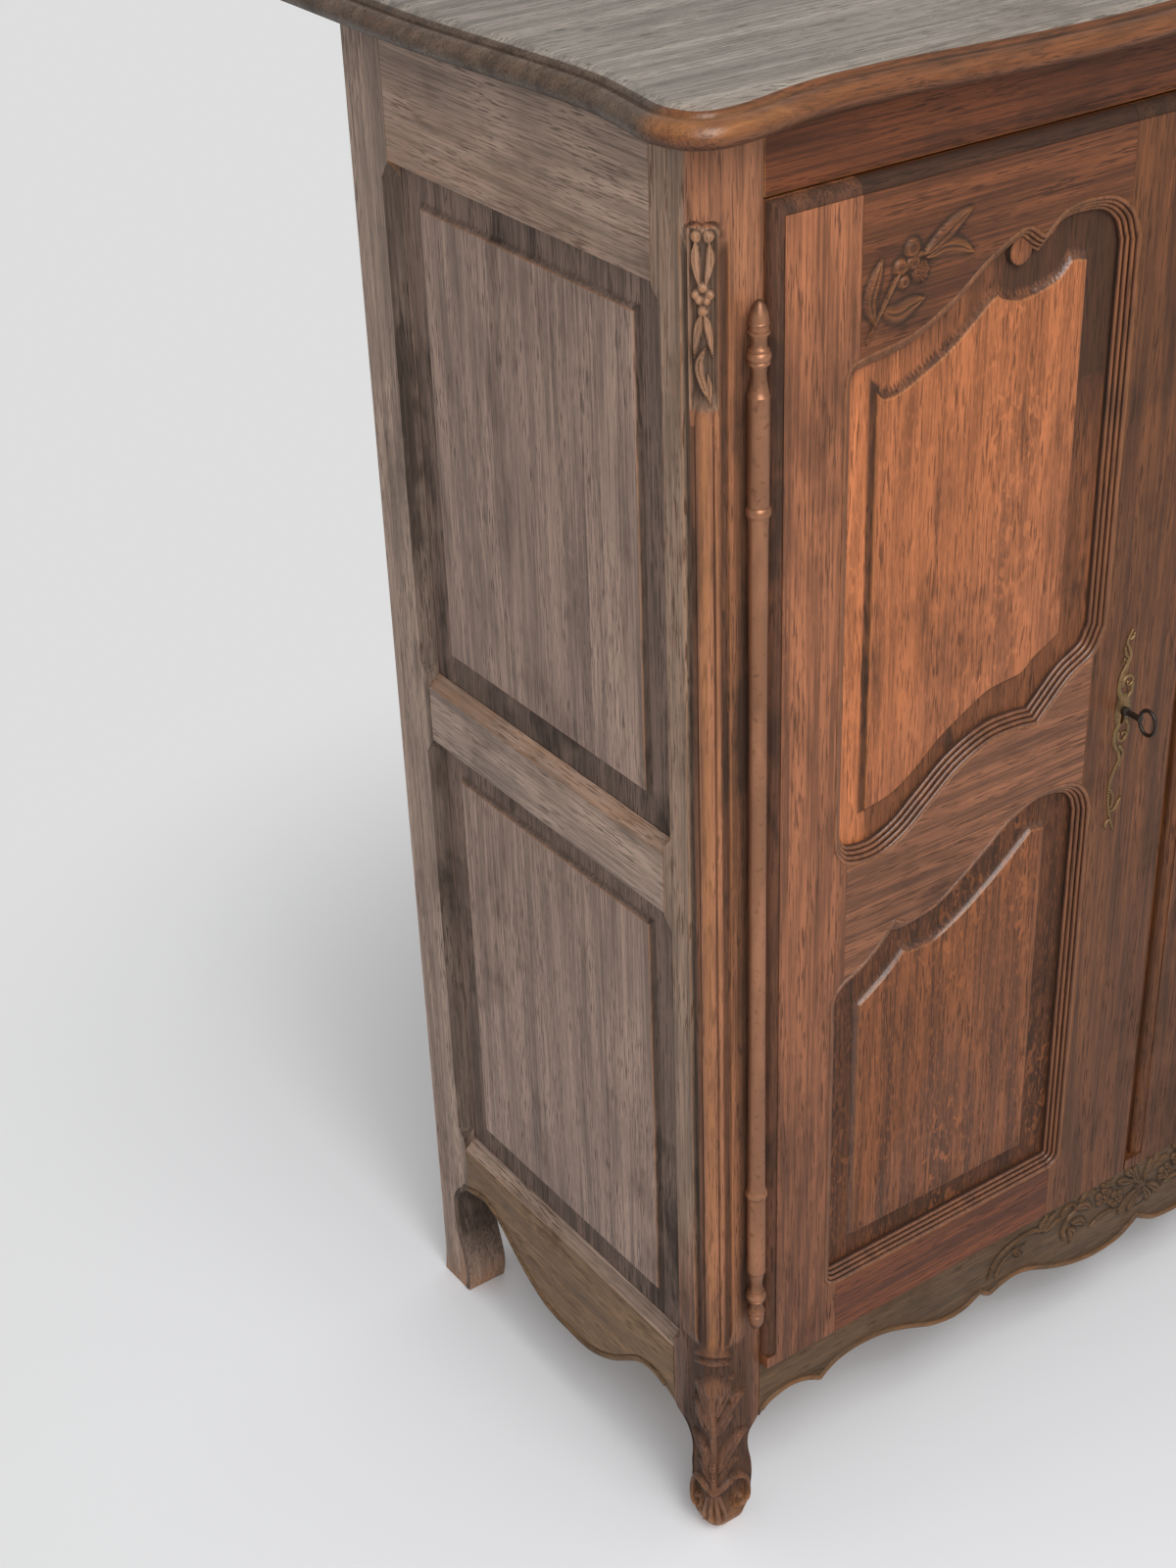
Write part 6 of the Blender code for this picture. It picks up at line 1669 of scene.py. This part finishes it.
def door_reeds(outlines):
    """Reeds round both panels of the left door, rubbed in front, with painted shade on the sides that face
    away from the front and at the crown, and polished where they face up.
    """
    paths = [path for outline in outlines for path in reed_paths(outline)]
    reeds = beads(paths, sizes().reed_radius, "reed oak", 12)
    normal = np.empty(len(reeds.vertices) * 3, np.float32)
    reeds.vertices.foreach_get("normal", normal)
    facing, rising = -normal[1::3], normal[2::3]
    crown = measures(reeds)[2] > CREST_Z
    glint = np.clip(facing - 0.3, 0, 1) * 0.4 + np.clip(rising - 0.1, 0, 1) * 2.2
    mark(reeds, "worn", np.clip(facing - 0.55, 0, 1) * 0.9)
    # Painted shade on the sides of the reeds that face away from the front, deeper at the crown.
    mark(reeds, "deep", np.clip(0.75 - facing + 0.3 * crown, 0, 1))
    mark(reeds, "polish", np.minimum(glint, 1.4) * np.where(crown, 0.1, 1))
    return reeds


def door_pieces(lock):
    """Stiles, rails, panels and reeds of the left door, by name."""
    outlines = (upper_opening(), lower_opening())
    made = door_frame(outlines, lock)
    field = upper_field()
    made["upper_panel"] = door_panel(outlines[0], field, 0.10, 4.5)
    shaded_grimy_border(made["upper_panel"], field)
    made["lower_panel"] = door_panel(outlines[1], lower_field(), 0.0, 2.5)
    made["reeds"] = door_reeds(outlines)
    return made


def closing_strip():
    """Moulded strip between the doors."""
    outline = edge_round(STRIP_U[0] + STRIP_LEDGE, 1)
    outline[outline[:, 0] < STRIP_U[0] + STRIP_LEDGE - 1, 0] = STRIP_U[0] - 2
    low, high = DOOR_Z[0] + EDGE_STOP, DOOR_Z[1] - EDGE_TOP_STOP
    stations = ((low, 0.84), (low + 2, 0.95), (low + 5, 1), (high - 5, 1), (high - 2, 0.95), (high, 0.84))
    body = box((STRIP_U[0], DOOR_Y[0], DOOR_Z[0]), (STRIP_U[1], DOOR_Y[1], DOOR_Z[1]))
    return cut(body, [upright_waste(outline, stations), level_waste(*STRIP_U)])


class CUPBOARD_OT_doors(bpy.types.Operator):
    """Joint the two doors, with their reeds, panels and carving"""
    bl_idname = "cupboard.doors"
    bl_label = "Doors"

    def execute(self, context):
        finish = {"hinge_stile": "hinge stile oak", "meeting_stile": "meeting stile oak",
                  "top_rail": "door top rail oak", "middle_rail": "door middle rail oak",
                  "bottom_rail": "door bottom rail oak", "upper_panel": "upper panel oak",
                  "lower_panel": "lower panel oak", "reeds": "reed oak"}
        sprig = relief((138.6, 1166), (262, 1278), sizes().carving_step * 1000 * 0.75, sprig_carving,
                       lambda u, z, h: place(u, DOOR_Y[0] - h, z), halo=11.0, rub=0.4)
        mark(sprig, "deep", np.clip(marked(sprig, "deep") * 1.6, 0, 1))
        eyes, seeds = scroll_eyes(), flower_seeds()
        for side in ("left", "right"):
            body = side + "_door"
            for name, mesh in door_pieces(side == "left").items():
                node = f"{side}_door_{name}"
                nodes = [] if name == "reeds" else [node]
                piece(node + "_worked", for_side(mesh, side), finish[name], body, nodes, 32)
            for name, mesh, wood, sharp in (("_sprig", sprig, "door top rail oak", 60),
                                            ("_sprig_seeds", seeds, "door top rail oak", 60),
                                            ("_scroll_eyes", eyes, "upper panel oak", 40)):
                piece(body + name, for_side(mesh, side), wood, body, [], sharp)
        piece("closing_strip_moulded", closing_strip(), "meeting stile oak", "right_door", ["closing_strip"],
              32)
        return {"FINISHED"}


# Metalwork

# Knuckle from its joint to the tip of its finial: shares of the barrel's radius and of the length
HINGE_TURNING = (
    (1.0, 0.0), (1.0, 0.004), (1.0, 0.535), (1.03, 0.538), (1.03, 0.546), (0.97, 0.549), (0.86, 0.575),
    (0.74, 0.615), (0.69, 0.650), (0.74, 0.682), (0.82, 0.695), (0.99, 0.698), (1.01, 0.704),
    (0.99, 0.710), (0.93, 0.713), (1.04, 0.722), (1.10, 0.735), (1.06, 0.748), (0.95, 0.757),
    (0.90, 0.759), (0.97, 0.762), (0.97, 0.768), (0.86, 0.771), (0.75, 0.782), (0.71, 0.802),
    (0.75, 0.825), (0.86, 0.840), (0.99, 0.843), (1.01, 0.849), (0.99, 0.855), (0.88, 0.858),
    (0.87, 0.882), (0.93, 0.885), (0.95, 0.890), (0.93, 0.894), (0.87, 0.897), (0.88, 0.915),
    (0.82, 0.938), (0.68, 0.962), (0.46, 0.984), (0.20, 0.997), (0.03, 1.0))


def turned_metal(profile):
    """Turned piece on the hinge's axis, with rubbed crests and dark hollows."""
    mesh = lathe(profile, HINGE_U, HINGE_Y)
    u, y, _ = measures(mesh)
    r = np.hypot(u - HINGE_U, y - HINGE_Y)
    mark(mesh, "worn", np.clip((r - 8.2) / 1.2, 0, 1))
    mark(mesh, "deep", np.clip((7.0 - r) / 1.5, 0, 1) * 0.8)
    return mesh


def hinge_knuckle(joint, way):
    """Fixed knuckle of a hinge from its joint to the tip of its finial, with its plate."""
    gap = FIT * 0.5
    profile = [(r * BARREL_R, joint + way * (gap + d * (KNUCKLE_L - gap))) for r, d in HINGE_TURNING]
    z0, z1 = sorted(joint + way * d for d in (18, 73))
    return joined([turned_metal(profile), box((HINGE_U - 1.5, HINGE_Y, z0), (HINGE_U + 1.5, 22, z1))])


class CUPBOARD_OT_hinges(bpy.types.Operator):
    """Turn the long barrel hinges"""
    bl_idname = "cupboard.hinges"
    bl_label = "Barrel hinges"

    def execute(self, context):
        low, high = HINGE_JOINTS
        half = ((BARREL_R, 0.15), (RING_R - 0.6, 1.2), (RING_R, 3.0), (RING_R, 5.6), (RING_R - 0.6, 7.4),
                (BARREL_R, 8.6), (BARREL_R - 0.15, 9.4), (1.06 * ROD_R, 1.8 * RING_H),
                (ROD_R, 0.21 * (high - low)))
        profile = [(r, low + d) for r, d in half] + [(r, high - d) for r, d in reversed(half)]
        back = HINGE_Y + ROD_R + 1.2
        middles = [low + share * (high - low) for share in (0.16, 0.50, 0.84)]
        leaves = [box((HINGE_U, back - 2, z - 30), (DOOR_U[0] + 20, back, z + 30)) for z in middles]
        long_rod = joined([turned_metal(profile)] + leaves)
        for side in ("left", "right"):
            for name, mesh, body in (("rod", long_rod, side + "_door"),
                                     ("upper_knuckle", hinge_knuckle(high, 1), "carcass"),
                                     ("lower_knuckle", hinge_knuckle(low, -1), "carcass")):
                node = f"{side}_hinge_{name}"
                piece(node + "_turned", for_side(mesh, side), "hinge bronze", body, [node], 40)
        return {"FINISHED"}


def key_plate_carving(a, b):
    """Height of the pierced scroll plate round the keyhole."""
    forms = [knob(a, b, (0, 0), 10.5, 1.5, 1.65)]
    scrolls = ((((-3, 12), (-7, 24), (-5, 36), (1, 46), (4, 54), (1, 62), (-2, 68), (1, 75), (3, 79)),
                4.6, "taper"),
               (spiral((4.5, 27), 7.5, 1.15, 200, -1), 3.4, "taper"),
               (((4, 10), (9, 16), (9.5, 24)), 3.4, "even"),
               (((-6, 33), (-1, 38), (1, 45), (-3, 52), (-6, 47)), 3.0, "taper"),
               (((2, 50), (-3, 58), (-4, 66)), 2.8, "leaf"), (((1, 70), (5, 71), (6, 76)), 2.6, "leaf"),
               (((-2, -13), (-7, -22), (-6, -34), (-1, -43), (1, -52), (-4, -62), (-8, -74), (-8, -92),
                 (-5, -108), (-1, -120), (2, -126)), 4.8, "taper"),
               (spiral((3.2, -27), 7.0, 1.1, 150, 1), 3.4, "taper"),
               (((5, -12), (9, -18), (9, -26)), 3.2, "even"),
               (((1, -38), (5, -46), (3, -56), (-3, -64)), 3.2, "taper"),
               (((-7, -80), (-3, -88), (-3, -97), (-6, -102)), 3.0, "taper"),
               (((-6, -104), (1, -104), (5, -98), (8, -92)), 3.2, "leaf"),
               (((-5, -112), (-9, -117), (-8, -122)), 2.6, "leaf"))
    for path, width, ends in scrolls:
        forms.append(stroke(a, b, path, 1.25 * width, 1.55, ends, steps=6))
    hole = np.hypot(a, b) - KEYHOLE_R
    slot = highest(np.abs(a) - KEYHOLE_R * 0.55, b, -KEY_BIT - 1.5 - b)
    return np.where(np.minimum(hole, slot) < 0.2, FLOOR, np.minimum(highest(*forms), 1.25))


def iron_key():
    """Key with an oval bow, a collar, a round shank and a bit."""
    bow_y = DOOR_Y[0] - KEY_REACH + KEY_BOW[0] + KEY_WIRE
    a, b = round_angles(48)[:, None], round_angles(16)[None]
    out = KEY_WIRE * np.cos(b)
    ring = place(KEY_U + KEY_WIRE * np.sin(b) + 0 * a, bow_y + (KEY_BOW[0] + out) * np.cos(a),
                 KEY_Z + (KEY_BOW[1] + out) * np.sin(a))
    grid = np.arange(a.size * b.size).reshape(a.size, b.size)
    bow = outward(build(ring.reshape(-1, 3), ring_faces(grid, np.roll(grid, -1, 0))))
    back = DOOR_Y[1] + FIT + CASE_DEPTH - CASE_WALL - 1
    face = DOOR_Y[0] - FIT - ESC_T
    y0 = bow_y + KEY_BOW[0] - 0.8
    shank = rod(KEY_U, KEY_Z, ((KEY_R * 1.25, y0), (KEY_R * 1.3, y0 + 1.5), (KEY_R, y0 + 3.2),
                               (KEY_R, face - 5.2), (KEY_R + 1.2, face - 4.8), (KEY_R + 1.6, face - 3.8),
                               (KEY_R + 1.6, face - 1.8), (KEY_R + 1.1, face - 1.1), (KEY_R, face - 0.9),
                               (KEY_R, back - 0.6), (KEY_R - 0.6, back)))
    bit = box((KEY_U - 1.3, DOOR_Y[1] + 3, KEY_Z - KEY_BIT), (KEY_U + 1.3, back - 1, KEY_Z - 1), 0.3)
    return joined([bow, shank, bit])


class CUPBOARD_OT_lock_furniture(bpy.types.Operator):
    """Fit the key plate, the key, the lock and the slide bolts"""
    bl_idname = "cupboard.lock_furniture"
    bl_label = "Lock furniture"

    def execute(self, context):
        face = DOOR_Y[0] - FIT
        plate = relief((-16, -130), (16, 82), 0.5, key_plate_carving,
                       lambda a, b, h: place(KEY_U + a, face - h, KEY_Z + b), sink=0.0, keep=0.12)
        piece("key_plate_pierced", plate, "plate brass", "left_door", ["escutcheon"], 60)
        piece("key_forged", iron_key(), "old iron", "key", ["key"], 40)
        for node, body in (("lock_case", "left_door"), ("lock_bolt", "lock_bolt"),
                           ("lock_keep", "right_door"), ("upper_bolt_guide", "right_door"),
                           ("lower_bolt_guide", "right_door"),
                           ("upper_bolt", "upper_bolt"), ("lower_bolt", "lower_bolt")):
            softened(node, "old iron", body, 0.5)
        return {"FINISHED"}


class CUPBOARD_OT_inside(bpy.types.Operator):
    """Fit the floor, the shelves and the framed back"""
    bl_idname = "cupboard.inside"
    bl_label = "Inside and back"

    def execute(self, context):
        finish = {"back_top_rail": "inner oak level", "back_bottom_rail": "inner oak level",
                  "back_muntin": "inner oak upright", "floor_board": "inner oak level",
                  "upper_shelf": "inner oak level", "lower_shelf": "inner oak level"}
        for side in ("left", "right"):
            finish[side + "_back_panel"] = "inner oak upright"
            finish[side + "_upper_shelf_cleat"] = "inner oak deep"
            finish[side + "_lower_shelf_cleat"] = "inner oak deep"
        for node, name in finish.items():
            softened(node, name, "carcass")
        return {"FINISHED"}


# Studio

CAMERA_PLACE = (-1.5516, -1.5400, 1.8600)
CAMERA_TURN = 35.33
CAMERA_DROP = 32.95
CAMERA_ROLL = -1.45
CAMERA_SHIFT = (-0.0389, 0.0446)

# Colours of the far wall and of the floor away from the cupboard
FAR = (0.725, 0.73, 0.725)
FLOOR_GLOW = (0.93, 0.93, 0.93)

# Backdrop in metres: where it starts to rise, radius of its bend, top and half width
SWEEP_FROM, SWEEP_R, SWEEP_TOP, SWEEP_HALF = 5.0, 1.5, 6.0, 9.0

# Lamps: name, place, aim, size and share of the key lamp's power
LAMPS = (("front lamp", (-1.5, -3.1, 3.0), (0, -0.1, 0.8), 2.2, 1.0),
         ("top lamp", (-0.55, -1.75, 3.2), (-0.2, -0.1, 0.8), 1.2, 0.4))


class CUPBOARD_OT_studio(bpy.types.Operator):
    """Set the floor, the light and the camera"""
    bl_idname = "cupboard.studio"
    bl_label = "Studio"

    def execute(self, context):
        settings = context.scene.cupboard_studio
        self.backdrop(settings)
        self.light(context.scene, settings)
        self.camera(context.scene, settings)
        context.scene.view_settings.view_transform = "Standard"
        return {"FINISHED"}

    def backdrop(self, settings):
        """Floor that sweeps up into a wall, far behind the cupboard."""
        bend = np.radians(np.linspace(6, 90, 15))
        sweep = [(-7.0, 0.0), (SWEEP_FROM, 0.0)]
        sweep += [(SWEEP_FROM + SWEEP_R * math.sin(a), SWEEP_R - SWEEP_R * math.cos(a)) for a in bend]
        sweep.append((SWEEP_FROM + SWEEP_R, SWEEP_TOP))
        turn = math.radians(CAMERA_TURN)
        sin, cos = math.sin(turn), math.cos(turn)
        verts = [(along * sin + side * cos, along * cos - side * sin, z)
                 for along, z in sweep for side in (-SWEEP_HALF, SWEEP_HALF)]
        faces = [(2 * i, 2 * i + 1, 2 * i + 3, 2 * i + 2) for i in range(len(sweep) - 1)]
        mesh = build(verts, faces)
        mesh.shade_smooth()
        base = tuple(settings.floor)
        material, w, shader, here = blank("pale floor", base)
        shader.inputs["Roughness"].default_value = 0.9
        near = w.mix(w.band(w.noise(here, 0.9, 3.0, 0.5), 0.3, 0.7), scaled(base, 0.97), base)
        reach = w.node("ShaderNodeVectorMath", operation="LENGTH")
        w.link(here, reach.inputs[0])
        away = reach.outputs["Value"]
        w.link(w.mix(w.band(away, 0.6, 2.8), near, FLOOR_GLOW), shader.inputs["Base Color"])
        glow = w.node("ShaderNodeEmission")
        glow.inputs["Color"].default_value = (*FAR, 1.0)
        seen = w.node("ShaderNodeLightPath").outputs["Is Camera Ray"]
        w.blend(w.times(w.band(away, 0.66, 1.5), seen), shader, glow, "Material Output")
        mesh.materials.append(material)
        item = bpy.data.objects.new("studio_floor", mesh)
        bpy.context.scene.collection.objects.link(item)

    def light(self, scene, settings):
        """Even light with a large lamp in front and a smaller one above."""
        world = bpy.data.worlds.new("studio")
        world.use_nodes = True
        w = Wires(world.node_tree)
        sky = world.node_tree.nodes["Background"]
        sky.inputs["Color"].default_value = (1.0, 1.0, 1.0, 1.0)
        sky.inputs["Strength"].default_value = settings.ambient
        wall = w.node("ShaderNodeBackground")
        wall.inputs["Color"].default_value = (*FAR, 1.0)
        w.blend(w.node("ShaderNodeLightPath").outputs["Is Camera Ray"], sky, wall, "World Output")
        scene.world = world
        for name, where, aim, size, share in LAMPS:
            lamp = bpy.data.lights.new(name, "AREA")
            lamp.size = size
            lamp.energy = settings.key * share
            item = bpy.data.objects.new(name, lamp)
            item.location = where
            item.rotation_euler = (Vector(aim) - Vector(where)).to_track_quat("-Z", "Y").to_euler()
            scene.collection.objects.link(item)

    def camera(self, scene, settings):
        """Camera at the viewing angle of the photograph."""
        turn, drop, roll = (math.radians(v) for v in (CAMERA_TURN, CAMERA_DROP, CAMERA_ROLL))
        ahead = Vector((math.sin(turn) * math.cos(drop), math.cos(turn) * math.cos(drop), -math.sin(drop)))
        level = Vector((math.cos(turn), -math.sin(turn), 0))
        up = level.cross(ahead)
        right = level * math.cos(roll) + up * math.sin(roll)
        up = right.cross(ahead)
        lens = bpy.data.cameras.new("camera")
        lens.sensor_fit = "VERTICAL"
        lens.sensor_height = 36.0
        lens.lens = settings.lens
        lens.shift_x, lens.shift_y = CAMERA_SHIFT
        lens.clip_end = 60.0
        item = bpy.data.objects.new("camera", lens)
        axes = Matrix((right, up, -ahead)).transposed()
        item.matrix_world = Matrix.Translation(CAMERA_PLACE) @ axes.to_4x4()
        scene.collection.objects.link(item)
        scene.camera = item


class CUPBOARD_PT_panel(bpy.types.Panel):
    """Steps that dress the cupboard"""
    bl_idname = "CUPBOARD_PT_panel"
    bl_label = "Carved Oak Cupboard"
    bl_space_type = "VIEW_3D"
    bl_region_type = "UI"
    bl_category = "Cupboard"

    def draw(self, context):
        for step in STEPS:
            self.layout.operator(step.bl_idname)
        for name, _ in GROUPS:
            group = getattr(context.scene, name)
            column = self.layout.column()
            for label in group.__annotations__:
                column.prop(group, label)


STEPS = (CUPBOARD_OT_finishes, CUPBOARD_OT_top_board, CUPBOARD_OT_front_posts, CUPBOARD_OT_sides,
         CUPBOARD_OT_front_rails, CUPBOARD_OT_doors, CUPBOARD_OT_hinges, CUPBOARD_OT_lock_furniture,
         CUPBOARD_OT_inside, CUPBOARD_OT_studio)
GROUPS = (("cupboard_sizes", CupboardSizes), ("cupboard_colours", CupboardColours),
          ("cupboard_studio", StudioSettings))


def register():
    for name, group in GROUPS:
        bpy.utils.register_class(group)
        setattr(bpy.types.Scene, name, bpy.props.PointerProperty(type=group))
    for item in STEPS + (CUPBOARD_PT_panel,):
        bpy.utils.register_class(item)


def unregister():
    for item in reversed(STEPS + (CUPBOARD_PT_panel,)):
        bpy.utils.unregister_class(item)
    for name, group in reversed(GROUPS):
        delattr(bpy.types.Scene, name)
        bpy.utils.unregister_class(group)


def main():
    """Run every step in order."""
    register()
    for step in STEPS:
        group, name = step.bl_idname.split(".")
        getattr(getattr(bpy.ops, group), name)()


if __name__ == "__main__":
    main()
